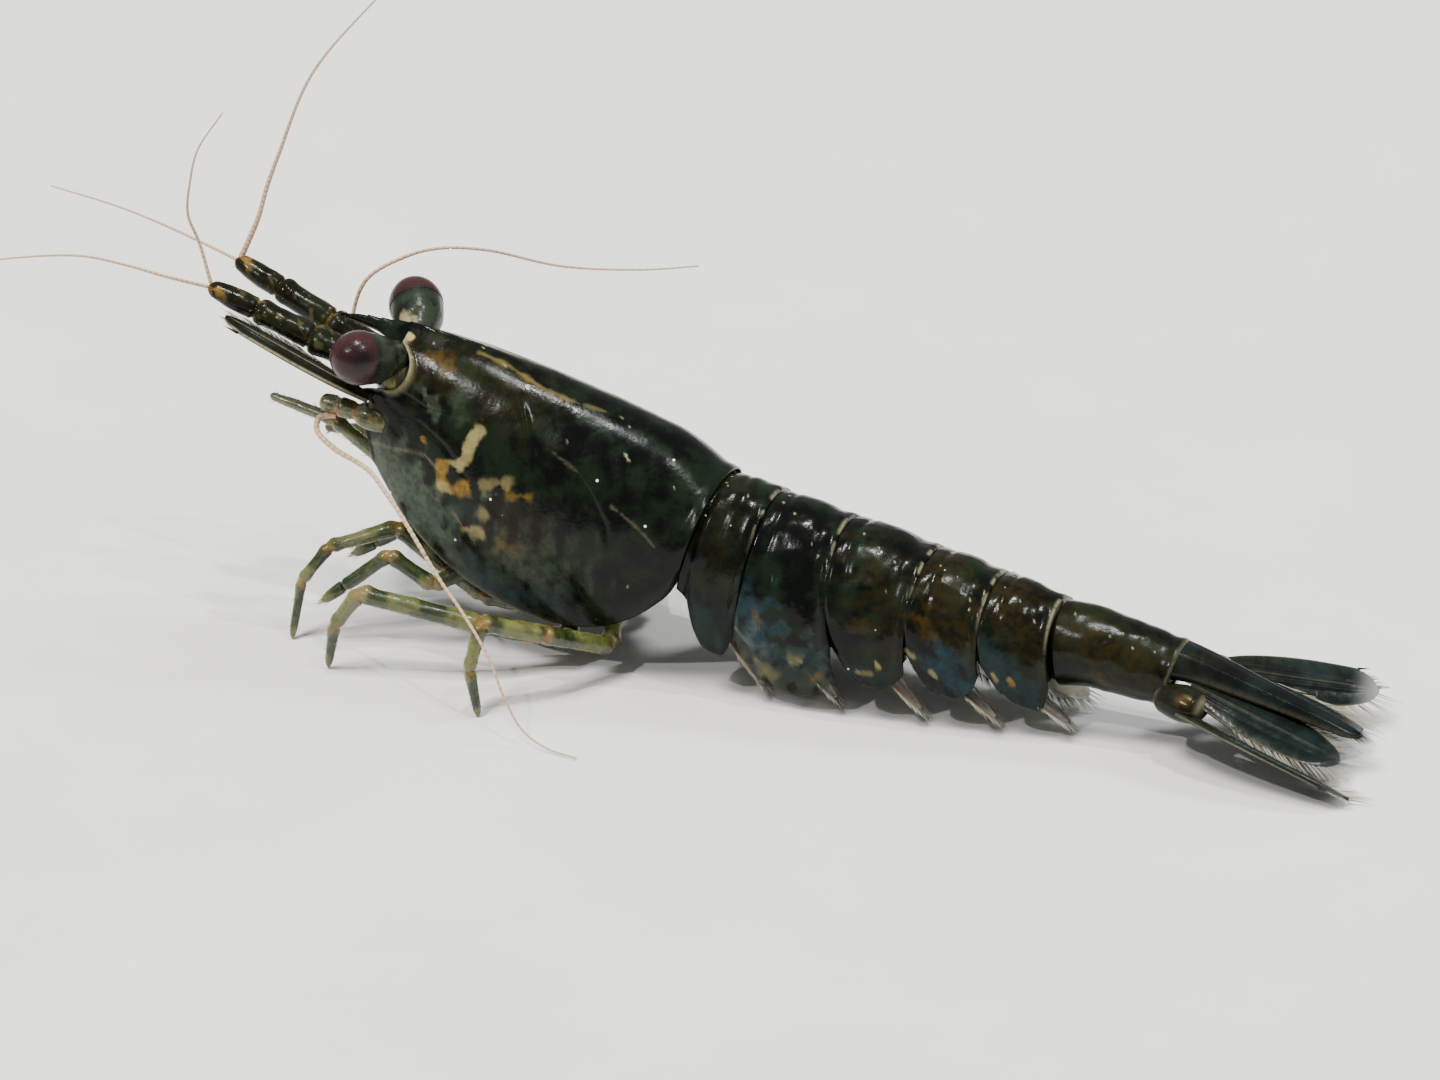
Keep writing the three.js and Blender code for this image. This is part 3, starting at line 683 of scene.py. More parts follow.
@dataclass
class Carapace:
    """The head shield: an arched plate from the eyes to the first segment."""

    front: float = -8.1
    rear: float = 0.25
    centring: float = 0.64
    top: Pairs = (
        (-8.1, 0.02), (-6.4, 0.26), (-4.4, 0.36), (-2.6, 0.38), (-1.2, 0.34), (-0.4, 0.14), (0.25, -0.16),
    )
    half_width: Pairs = (
        (-8.1, 1.12), (-7.2, 1.45), (-6, 1.8), (-4.5, 2.05), (-3, 2.15), (-1.5, 2.1), (0.25, 1.8),
    )
    bottom: Pairs = (
        (-8.1, -2.9), (-7.5, -3.45), (-6.5, -4.1), (-5.2, -4.62), (-3.8, -4.85), (-2.4, -4.78),
        (-1.2, -4.4), (-0.4, -3.75), (0, -3.1), (0.25, -2.3),
    )
    orbit: float = 1.2  # radius of the notch round each eye
    cheek: float = 0.16  # how far the lower front edge stands forward
    spine: float = 0.36  # how far the point under each orbit stands forward
    spine_up: float = -1.5
    wall: float = 0.13
    edge_wall: float = 0.04
    girth: float = 4.5  # about how far it is over the shell from the back to a lower edge
    rim: float = 0.045
    ridge: float = 0.06  # height of the keel that runs into the beak
    rows: int = 190
    columns: int = 241
    marks: tuple[Mark, ...] = ()

    def section(self, place: Array, share: Array) -> Array:
        """Body places on the plain shield at places along it and shares of the way round."""
        top, bottom, half_width = (profile(of)(place) for of in (self.top, self.bottom, self.half_width))
        return stacked(place, *arch(top, bottom, half_width, self.centring, share))

    def margin(self, share: Array) -> Array:
        """Where the front edge lies: cut back round the eyes, with a spine under each orbit."""
        side = np.abs(share)
        dense = np.linspace(self.front, self.front + 2 * self.orbit, 500)[:, None]
        points = self.section(*np.broadcast_arrays(dense, side[None]))
        inside = np.linalg.norm(points - np.array(STANCE.eye), axis=-1) < self.orbit
        last = np.where(inside.any(axis=0), len(dense) - 1 - inside[::-1].argmax(axis=0), 0)
        up = self.section(np.full_like(share, self.front), side)[:, 2]
        cheek = self.cheek * rise(side, 0.5, 0.68) * rise(side, 1.0, 0.85)
        spine = self.spine * bump(up - self.spine_up, 0.13)
        return dense[last, 0] - spine - cheek + 0.25 * rise(side, 0.9, 1)

    def grid(self) -> tuple[Array, Array]:
        """Body places of the outer face, and how far each lies behind the front edge."""
        share = np.linspace(-1, 1, self.columns)
        weights = bump(np.arange(-3, 4), 2.0)
        edge = np.pad(self.margin(share), 3, mode="edge")
        edge = np.convolve(edge, weights / weights.sum(), mode="valid")
        t = steps(self.rows)
        t = mix(t, (1 - np.cos(math.pi * t)) / 2, 0.45)[:, None]
        place = edge[None] + (self.rear - edge[None]) * t
        return self.section(place, np.broadcast_to(share, place.shape)), place - edge[None]

    def relief(self, along: Array, down: Array, behind: Array) -> Array:
        """How far the shell stands out of its plain form, in millimetres."""
        side = np.abs(down)
        places = stacked(along, side)
        height = 0.006 * waves(stacked(along, down), 1.6, 11, 2)
        height += self.ridge * bump(down, 0.2) * rise(along, -4.2, -6.8)
        for line, depth, width in SHIELD_GROOVES:
            away, where = distance_to(places, line)
            fading = np.sin(math.pi * held(where * 0.9 + 0.05)) ** 0.5
            height -= depth * bump(away, width) * fading
        height += self.rim * bump(behind - 0.05, 0.09) * rise(side, 0.5, 0.9)
        height += 0.03 * bump(along - (self.rear - 0.12), 0.12)
        return height

    def surface(self) -> Surface:
        """The shield as a closed plate that thins towards its edges, painted with its marks."""
        places, behind = self.grid()
        down = down_the_side(places)
        side = np.abs(down)
        along = places[..., 0]
        outer = STANCE.posed(places)
        normals = shell_normals(outer)
        outer = outer + normals * self.relief(along, down, behind)[..., None]
        above = (1 - np.abs(np.linspace(-1, 1, self.columns)[None])) * self.girth + 0 * along
        near_edge = np.minimum.reduce([behind, self.rear - along, above])
        wall = mix(self.edge_wall, self.wall, rise(near_edge, 0, 0.4))
        tints = painted(self.marks, along, down, 3)
        beside = rise(side, 0.25, 0.5)
        rim = bump(behind - 0.03, 0.06) * beside * rise(side, 3.6, 2.8)
        orbit = bump(behind - 0.06, 0.1) * beside * rise(side, 3.0, 2.2)
        lower = bump(above, 0.07) * rise(along, -1.2, -3.5)
        heighten(tints, Tint.SEAM, rim * 0.8)
        heighten(tints, Tint.CREAM, orbit * 0.35)
        heighten(tints, Tint.SEAM, lower * 0.35)
        return plate(outer, outer - normals * wall[..., None], tints)


@dataclass
class Rostrum:
    """The beak: a keel that rises out of the shield and narrows into a dark, faintly toothed blade."""

    root: float = -6.2
    tip: float = -9.92
    ridge: Pairs = (
        (-9.92, -0.5), (-9.4, -0.3), (-8.8, -0.13), (-8.1, 0.09), (-7.4, 0.2), (-6.7, 0.27), (-6.2, 0.1),
    )
    half_width: Pairs = (
        (-9.92, 0.03), (-9.3, 0.075), (-8.6, 0.12), (-8.1, 0.2), (-7.6, 0.16), (-7.0, 0.08), (-6.2, 0.05),
    )
    depth: Pairs = ((-9.92, 0.06), (-9.5, 0.2), (-8.9, 0.36), (-8.3, 0.44), (-7.6, 0.4), (-6.2, 0.3))
    shelf: float = 0.4  # how far the blade's foot spreads to each side between the eyes
    teeth: int = 7
    toothed: float = 2.4  # the length that the teeth share
    tooth: float = 0.035
    rows: int = 130
    sides: int = 36

    def surface(self) -> Surface:
        """Rings along the blade: a lens on edge, whose foot spreads to meet the orbits' rims."""
        t = steps(self.rows)
        place = mix(self.root, self.tip, t)[:, None]
        saw = ((place - self.tip) * self.teeth / self.toothed) % 1.0
        saw = self.tooth * held(1 - saw * 1.25)
        saw = saw * rise(place, self.tip + 0.3, self.tip + 0.6) * rise(place, -7.2, -7.6)
        end = rounded_ends(t, 0.03, 0.02)[:, None]
        turn = around_once(self.sides)[None]
        drop = (1 - np.cos(turn)) / 2
        between_eyes = rise(place, -9.1, -8.3) * rise(place, -7.4, -7.9)
        foot = self.shelf * between_eyes * bump(drop - 0.75, 0.3)
        across = (profile(self.half_width)(place) + foot) * signed_power(np.sin(turn), 1.2) * end
        up = profile(self.ridge)(place) - profile(self.depth)(place) * drop * end
        up = up + saw * held(np.cos(turn)) ** 8
        rings = stacked(place, across, up)
        lower = rise(drop, 0.62, 0.95) * rise(place, -7.9, -8.3) * rise(place, -9.8, -9.4)
        tints = coat(up.shape, cream=0.35 * lower, clear=0.3 * rise(place, -9.4, -9.9))
        return tube(STANCE.posed(rings), tints)


@dataclass
class Breast:
    """The soft body under the shield, ringed where the legs grow from it."""

    front: float = -8.45
    rear: float = -0.5
    ceiling: Pairs = ((-8.45, -0.55), (-7.9, -0.4), (-7.1, -1.0), (-6, -2.3), (-3, -2.6), (-0.5, -2.6))
    floor: Pairs = (
        (-8.45, -2.1), (-8.1, -2.5), (-7.4, -3.05), (-6.5, -3.55), (-5, -3.95), (-3, -4.05), (-1.2, -3.85),
        (-0.5, -3.5),
    )
    half_width: Pairs = (
        (-8.45, 0.85), (-7.9, 1.1), (-7.2, 1.12), (-6, 1.12), (-4.5, 1.3), (-3, 1.36), (-1.5, 1.3),
        (-0.5, 1.05),
    )
    ring: float = 0.9  # from one pair of legs to the next
    fold: float = 0.05  # depth of the pinch between them
    square: float = 0.72  # power that makes the section squarer than an ellipse
    rows: int = 120
    sides: int = 64

    def surface(self) -> Surface:
        """Rounded rings along the breast, pinched between each two pairs of legs."""
        t = steps(self.rows)
        place = mix(self.front, self.rear, t)[:, None]
        turn = around_once(self.sides)[None]
        fold = self.fold * np.cos((place + 0.35) * 2 * math.pi / self.ring) * held(-np.sin(turn))
        end = rounded_ends(t, 0.06, 0.1)[:, None]
        wide = profile(self.half_width)(place) * end + fold
        high, low = profile(self.ceiling)(place), profile(self.floor)(place)
        middle, half = (high + low) / 2, (high - low) / 2 * end + fold
        across = wide * signed_power(np.cos(turn), self.square)
        up = middle + half * signed_power(np.sin(turn), self.square)
        rings = STANCE.posed(stacked(place, across, up))
        rings += 0.02 * waves(rings, 0.7, 5)[..., None] * np.array([0.3, 1, 1])
        bands = 0.6 * bump(np.sin(place * math.pi / self.ring + 0.6), 0.5)
        blotches = 0.7 * rise(waves(rings, 0.5, 8), 0.45, 0.8)
        return tube(rings, coat(up.shape, pale=bands, cream=blotches))


# Where each joint crosses the back, and how far back it leans for each millimetre down the side.
JOINTS = np.array([0.38, 1.54, 3.35, 5.53, 7.22, 8.82, 11.95])
LEANS = np.array([0.05, 0.08, 0.33, 0.18, 0.23, 0.28, 0.0])
BACK_DIP = 0.14  # how far the back sinks at each joint


def joint_place(index: int, up: Array) -> Array:
    """How far along the body a joint lies at a height below the back."""
    return JOINTS[index] + LEANS[index] * np.maximum(-up, 0)


@dataclass
class Segment:
    """One hoop of the abdomen with its two hanging side plates."""

    index: int
    half_width: Pair
    lowest: float  # lower tip of the side plates
    notch: float  # how far the plate's edge rises from its tip to the joints
    peak: float  # where along the segment that tip lies
    belly: float  # height of the belly skin
    marks: tuple[Mark, ...] = ()
    centring: float = 0.74
    tuck: float = 0.3  # how far it reaches under the segment in front
    tuck_depth: float = 0.07  # and how far inwards
    tucked: int = 7  # rows that lie there
    wall: Pair = (0.05, 0.34)  # at the side plates' edges and above them
    rows: int = 74
    columns: int = 151

    def edge(self, t: Array) -> Array:
        """Height of the side plate's lower edge: a lobe that is lowest at its peak."""
        lobe = np.where(t < self.peak, (self.peak - t) / self.peak, (t - self.peak) / (1 - self.peak))
        return self.lowest + self.notch * np.abs(lobe) ** 2.6

    def surface(self) -> Surface:
        """The hoop: an arched outer face, and inside it the plates' thin walls and the belly."""
        shown = self.rows - self.tucked
        t = np.concatenate([np.zeros(self.tucked), steps(shown)])[:, None]
        under = np.concatenate([np.linspace(1, 0, self.tucked, endpoint=False), np.zeros(shown)])[:, None]
        share = np.linspace(-1, 1, self.columns)[None]
        inwards = self.tuck_depth * rise(under, 0, 0.5)
        top = BACK_DIP * (np.sin(math.pi * t) - 1) - inwards
        bottom = self.edge(t) + 0.12 * under
        wide = mix(*self.half_width, t) - inwards
        across, up = arch(*np.broadcast_arrays(top, bottom, wide), self.centring, share)
        front = joint_place(self.index, up) + GAP / 2 - self.tuck * under
        rear = joint_place(self.index + 1, up) - GAP * 0.3
        along = mix(front, rear, t)
        places = stacked(along, across, up)
        down = down_the_side(places)
        side = np.abs(down)
        outer = STANCE.posed(places)
        normals = shell_normals(outer)
        behind = (along - front) * (1 - under)
        ahead = rear - along
        height = 0.010 * waves(stacked(along, down), 1.3, 20 + self.index)
        height += 0.035 * bump(ahead - 0.1, 0.12) - 0.03 * bump(ahead - 0.42, 0.16)
        height -= 0.03 * bump(behind - 0.3, 0.1) * rise(side, 3.0, 1.5)
        height += 0.02 * bump(up - bottom - 0.06, 0.07)
        outer = outer + normals * (height * (1 - under))[..., None]
        tints = painted(self.marks, along, down, 40 + self.index)
        broken = waves(stacked(along, down * 1.5), 0.9, 60 + self.index)
        seam = bump(ahead - 0.03, 0.04) * rise(side, 2.6, 0.6) * rise(broken, -0.45, 0.35)
        heighten(tints, Tint.SEAM, seam * mix(0.8, 0.15, rise(side, 0.5, 1.8)))
        return plate(outer, STANCE.posed(self.inside(places, bottom, np.sign(share))), tints)

    def inside(self, places: Array, bottom: Array, side: Array) -> Array:
        """Body places of the inner face: plate walls below the belly, and the belly between them."""
        along, across, up = np.moveaxis(places, -1, 0)
        shares = np.abs(np.linspace(-1, 1, self.columns)[None])
        wall = mix(*self.wall, rise(up - bottom, 0.1, 1.3))
        on_plate = up < self.belly
        widest = np.max(np.where(on_plate, 0, shares), axis=1, keepdims=True)
        belly_share = np.where(on_plate, 1.0, shares / widest)
        belly_width = np.max(np.where(on_plate, 0, np.abs(across)), axis=1, keepdims=True) - self.wall[1]
        inner_across = np.where(on_plate, np.abs(across) - wall, belly_width * belly_share)
        inner_up = np.where(on_plate, up, self.belly - 0.16 * (1 - belly_share**2))
        inner_up = np.maximum(inner_up, bottom + 0.02)
        return stacked(along, side * inner_across, inner_up)


@dataclass
class TailSegment:
    """The sixth segment: a slim barrel with a small point on each side at its rear edge."""

    half_width: Pair = (1.02, 0.84)
    depth: Pair = (1.95, 1.7)
    tuck: float = 0.5  # how far it reaches into the fifth segment
    length: float = 3.1
    rounding: float = 0.92  # how much slimmer the rear edge is
    marks: tuple[Mark, ...] = ()
    rows: int = 120
    sides: int = 120

    def surface(self) -> Surface:
        """Elliptical rings whose front ones lie inside the fifth segment."""
        t = np.linspace(-self.tuck / self.length, 1, self.rows)[:, None]
        inside = rise(t, 0.01, -0.06)
        turn = around_once(self.sides)[None] - math.pi
        half = mix(*self.depth, t) / 2
        wide = mix(*self.half_width, t) - 0.1 * inside
        top = BACK_DIP * (np.sin(math.pi * np.clip(t * 1.6, 0, 0.5)) - 1) - 0.08 * inside
        end = mix(self.rounding, 1, rounded_ends(held(t), 1e-6, 0.03))
        across = wide * np.sin(turn) * end
        up = top - half + (half - 0.08 * inside) * np.cos(turn) * end
        front = joint_place(5, up) + GAP / 2
        rear = JOINTS[6] + 0.22 * bump(np.abs(turn) - 1.75, 0.22) + 0.04 + 0 * up
        along = mix(front, rear, t)
        rings = STANCE.posed(stacked(along, across, up))
        ahead = rear - along
        swell = 0.012 * waves(rings, 1.2, 31)
        swell += 0.03 * bump(ahead - 0.1, 0.12) - 0.02 * bump(ahead - 0.4, 0.2)
        centre = rings.mean(axis=1, keepdims=True)
        rings = rings + unit(rings - centre) * (swell * (1 - inside))[..., None]
        tints = painted(self.marks, along, turn * 0.9 + 0 * along, 47)
        heighten(tints, Tint.SEAM, 0.3 * bump(ahead - 0.04, 0.05))
        return tube(rings, tints)


# ---- Blades: tail fan, antenna scales and swimmerets ----

# Shares of a leaf's half width along it: rounded at its end, or straight to a corner near its end.
LEAF = ((0.0, 0.42), (0.15, 0.7), (0.45, 1.0), (0.75, 0.92), (0.9, 0.66), (0.97, 0.38), (1.0, 0.06))
STRAIGHT = ((0.0, 0.45), (0.2, 0.8), (0.5, 0.98), (0.86, 0.9), (0.88, 0.8), (0.95, 0.55), (1.0, 0.06))


def hung(side: Side, hang: float) -> Array:
    """The direction out to a side whose outer end hangs down by a number of degrees."""
    roll = math.radians(hang)
    return np.array([0.0, side.value * math.cos(roll), -math.sin(roll)])


@dataclass
class Blade:
    """A thin leaf between two places, ribbed along its length and fringed round its end.

    Its outline is half_width times a profile of the fraction along it, for each of its two edges.
    """

    start: Array
    end: Array
    half_width: float
    level: Array  # the direction that the leaf's width keeps closest to
    outer: Pairs  # shares of the half width on the side that level points to
    inner: Pairs = LEAF
    thickness: float = 0.09
    ribs: tuple[float, ...] = (0.0,)  # shares of the width where ribs run
    rib: float = 0.05
    crown: float = 0.08  # how far the middle stands above the edges
    rows: int = 90
    columns: int = 61

    def frame(self) -> tuple[Array, Array, Array]:
        """Directions along the leaf, across it and up from it."""
        along = unit(self.end - self.start)
        across = unit(self.level - along * (self.level @ along))
        up = np.cross(along, across)
        return along, across, up * (1 if up[2] >= 0 else -1)

    def places(self, t: Array, share: Array) -> Array:
        """Points of the leaf's middle sheet at fractions along it and shares across it."""
        along, across, up = self.frame()
        length = np.linalg.norm(self.end - self.start)
        wide = np.where(share >= 0, profile(self.outer)(t), profile(self.inner)(t)) * self.half_width
        lift = self.crown * (1 - share**2)
        centre = self.start + along * (t * length)[..., None]
        return centre + across * (share * wide)[..., None] + up * lift[..., None]

    def surface(self, tint: Callable[[Array, Array], Array]) -> Surface:
        """The leaf as a closed plate, thickest along its ribs, with tints from places on it."""
        t, share = np.meshgrid(steps(self.rows), np.linspace(-1, 1, self.columns), indexing="ij")
        sheet = self.places(t, share)
        body = self.thickness * mix(1.0, 0.35, t) * np.sqrt(np.clip(1 - 0.9 * share**4, 0.05, 1))
        for rib in self.ribs:
            body = body + self.rib * bump(share - rib * mix(1.0, 0.8, t), 0.09) * rise(t, 1.0, 0.7)
        body = body * (0.25 + 0.75 * np.sqrt(held((1 - t) * 8)))
        half = (self.frame()[2] * body[..., None]) / 2
        return plate(sheet + half, sheet - half, tint(t, share))

    def tooth(self, t: float, lean: float, length: float, radius: float) -> Surface:
        """A spine on the outer edge at a fraction along the leaf, leaning out from its direction."""
        along, across, _ = self.frame()
        root = self.places(np.array([t]), np.array([0.97]))
        return bristles(root, along[None] + across[None] * lean, np.array([length]), radius)

    def fringe(self, count: int, length: float, start: float, sides: Sequence[int], seed: int) -> Surface:
        """Hairs along the leaf's edge and round its end.

        Args:
            count: hairs in all.
            length: the longest hair, in millimetres.
            start: the fraction along the leaf from which the edges carry hairs.
            sides: +1 for the edge that level points to, -1 for the other.
            seed: of the small differences between hairs.

        Returns:
            The hairs as one surface, with places on the leaf's own unwrap.
        """
        draw = np.random.default_rng(seed)
        along, across, _ = self.frame()
        parts = []
        each = count // len(sides)
        for side in sides:
            t = np.sort(draw.uniform(start, 0.998, each))
            share = np.full(each, float(side))
            roots = self.places(t, share * 0.97)
            ahead = self.places(np.minimum(t + 0.02, 1.0), share * 0.97) - roots
            moved = np.linalg.norm(ahead, axis=1, keepdims=True) > 1e-6
            edge = unit(np.where(moved, ahead, -side * across[None]))
            outward = unit(np.cross(edge, np.cross(across[None] * side, edge)) + 1e-6)
            ways = unit(along[None] * 1.1 + outward * 0.75 + draw.normal(0, 0.07, (each, 3)))
            grow = length * draw.uniform(0.7, 1.0, each) * rise(t, start - 0.02, start + 0.25) + 0.05
            # no hair dips below the floor
            ways[:, 2] = np.maximum(ways[:, 2], (0.03 - roots[:, 2]) / grow + 0.1)
            ends = stacked(t, 0.5 + 0.49 * share) * 0.9 + 0.03
            parts.append(bristles(roots, ways, grow, 0.012, 0.08, ends))
        return joined(parts)


@dataclass
class TailFan:
    """The telson and, on each side, a short stem with an inner and an outer blade."""

    telson_length: float = 4.55
    telson_half: Pair = (0.72, 0.24)
    telson_thick: Pair = (0.95, 0.16)
    telson_roof: float = -0.03
    stem: tuple[Place, Place] = ((11.75, 0.8, -1.14), (13.2, 0.98, -0.8))
    inner_blade: tuple[Place, Place] = ((12.55, 0.66, -0.66), (16.5, 0.86, -0.5))
    outer_blades: dict = field(default_factory=lambda: {
        Side.LEFT: ((12.6, 1.28, -1.1), (17.14, 1.8, -0.74)),
        Side.RIGHT: ((12.6, 1.3, -1.1), (16.3, 2.5, -0.3)),
    })
    hangs: Pair = (12.0, -28.0)  # degrees that the inner and outer blades' outer edges hang
    half_widths: Pair = (0.69, 0.62)
    rows: int = 120
    sides: int = 56

    def telson_along(self, t: Array) -> Array:
        """Body places along the telson, from inside the sixth segment to its end."""
        return JOINTS[6] - 0.15 + t * (self.telson_length + 0.25)

    def telson_wide(self, t: Array) -> Array:
        """Half the telson's width at fractions along it."""
        return mix(*self.telson_half, t**0.8)

    def telson(self) -> Surface:
        """Lens-shaped rings that narrow to a blunt end, with a low ridge along each side."""
        t = steps(self.rows)[:, None]
        turn = around_once(self.sides)[None]
        blunt = np.sqrt(np.clip(1 - held((t - 0.9) / 0.1) ** 2.5, 0.01, 1))
        wide = self.telson_wide(t) * blunt
        thick = mix(*self.telson_thick, t**0.55) * (0.4 + 0.6 * blunt)
        across = wide * np.sin(turn)
        side = np.abs(across)
        roof = 0.5 * thick * np.cos(turn) - 0.12 * np.sin(turn) ** 2 * mix(1, 0.4, t)
        ridge = 0.035 * bump(side - wide * 0.55, 0.09) * (np.cos(turn) > 0) * rise(t, 1.0, 0.8)
        up = self.telson_roof - thick / 2 + roof + ridge
        rings = STANCE.posed(stacked(self.telson_along(t), across, up))
        edges = 0.12 * bump((wide - side) / 0.04, 1.0) * rise(t, 0.05, 0.25)
        clouds = 0.5 * rise(t, 0.6, 0.0) * bump(waves(rings, 0.7, 33) - 0.3, 0.5)
        return tube(rings, coat(up.shape, seam=edges, olive=clouds))

    def telson_spines(self) -> Surface:
        """Two pairs of small spines on the telson's roof and a row across its end."""
        t = np.array([0.48, 0.48, 0.72, 0.72])
        sides = np.array([-1, 1, -1, 1]) * self.telson_wide(t) * 0.72
        fan = np.linspace(-1, 1, 8)
        end = JOINTS[6] + self.telson_length + 0.06 - 0.07 * fan**2
        along = np.concatenate([self.telson_along(t), end])
        across = np.concatenate([sides, fan * 0.19])
        places = stacked(along, across, np.full(12, self.telson_roof - 0.1))
        spread = stacked(np.ones(8), fan * 0.3, np.zeros(8))
        ways = np.vstack([np.tile([1.0, 0, 0.25], (4, 1)), spread])
        roots = STANCE.posed(places)
        lengths = np.concatenate([np.full(4, 0.2), mix(0.5, 0.3, np.abs(fan))])
        return bristles(roots, STANCE.posed(places + ways * 0.1) - roots, lengths, 0.022)

    def stem_surface(self, side: Side) -> Surface:
        """The short stem: a flattened knob."""
        start, end = STANCE.posed(self.stem, side)
        t = steps(40)
        ends = rounded_ends(t, 0.2, 0.25)
        wide = profile(((0, 0.3), (0.5, 0.5), (1, 0.5)))(t) * ends
        high = profile(((0, 0.26), (0.5, 0.42), (1, 0.34)))(t) * ends
        rings = ringed(start + (end - start) * t[:, None], wide, high, 32)
        t = t[:, None]
        amber = 0.25 * bump(t - 0.65, 0.12) * rise(waves(rings, 0.5, 9), -0.2, 0.5)
        seam = 0.5 * bump(t - 0.93, 0.05) + 0.2 * bump(t - 0.08, 0.06)
        return tube(rings, coat(rings.shape[:2], amber=amber, seam=seam, olive=0.5))

    @staticmethod
    def tinted(dark: float) -> Callable[[Array, Array], Array]:
        """A painter of blades with pale ribs and edges and a clearer end."""

        def tint(t: Array, share: Array) -> Array:
            """The tints at fractions along the blade and shares across it."""
            side = np.abs(share)
            lines = held(0.3 * bump(side - 0.98, 0.04) + 0.1 * bump(share, 0.04))
            clear = 0.1 + 0.4 * rise(t, 0.8, 1.0) - dark * rise(t, 0.9, 0.6)
            return coat(
                t.shape,
                seam=lines * rise(t, 1.0, 0.85),
                clear=held(clear),
                olive=0.35 * rise(t, 0.5, 0.0),
                pale=0.08 + 0.12 * rise(side, 0.5, 0.95),
                blue=0.1 * rise(t, 0.45, 0.9),
            )

        return tint

    def blades(self, side: Side) -> tuple[Blade, Blade]:
        """The inner and the outer blade of a side."""
        inner_hang, outer_hang = self.hangs
        inner_half, outer_half = self.half_widths
        start, end = STANCE.posed(self.inner_blade, side)
        inner = Blade(start, end, inner_half, hung(side, inner_hang), LEAF, ribs=(0.0, 0.35), thickness=0.1)
        start, end = STANCE.posed(self.outer_blades[side], side)
        level = hung(side, outer_hang)
        return inner, Blade(start, end, outer_half, level, STRAIGHT, ribs=(0.0, 0.3, -0.3), thickness=0.11)

    def build(self, finishes: "Finishes") -> None:
        """Builds the fan, one piece for each solid, and its fringes."""
        piece("telson", joined([self.telson(), self.telson_spines()]), finishes.fan, "fan")
        fringes = []
        for side in Side:
            inner, outer = self.blades(side)
            spined = joined([outer.surface(self.tinted(0.3)), outer.tooth(0.86, 0.15, 0.32, 0.04)])
            piece(f"uropod_base_{side.word}", self.stem_surface(side), finishes.fan, "fan")
            piece(f"uropod_inner_{side.word}", inner.surface(self.tinted(0.2)), finishes.fan, "fan")
            piece(f"uropod_outer_{side.word}", spined, finishes.fan, "fan")
            fringes.append(inner.fringe(130, 0.75, 0.3, (-1, 1), 70 + side.value))
            fringes.append(outer.fringe(90, 0.8, 0.25, (-1,), 74 + side.value))
            fringes.append(outer.fringe(34, 0.75, 0.88, (1,), 78 + side.value))
        piece("fan_fringe", joined(fringes), finishes.hair, "fan", solid=False)


# ---- Limbs ----

HIPS = (-4.8, -3.9, -3.0, -2.1, -1.2)
HIP_ACROSS = 0.66


def hip_place(along: float, across: float, side: Side) -> Array:
    """Where a limb leaves the breast's floor, in the standing pose."""
    floor = profile(Breast().floor)(np.array(along))
    return STANCE.posed([[along, across, float(floor)]], side)


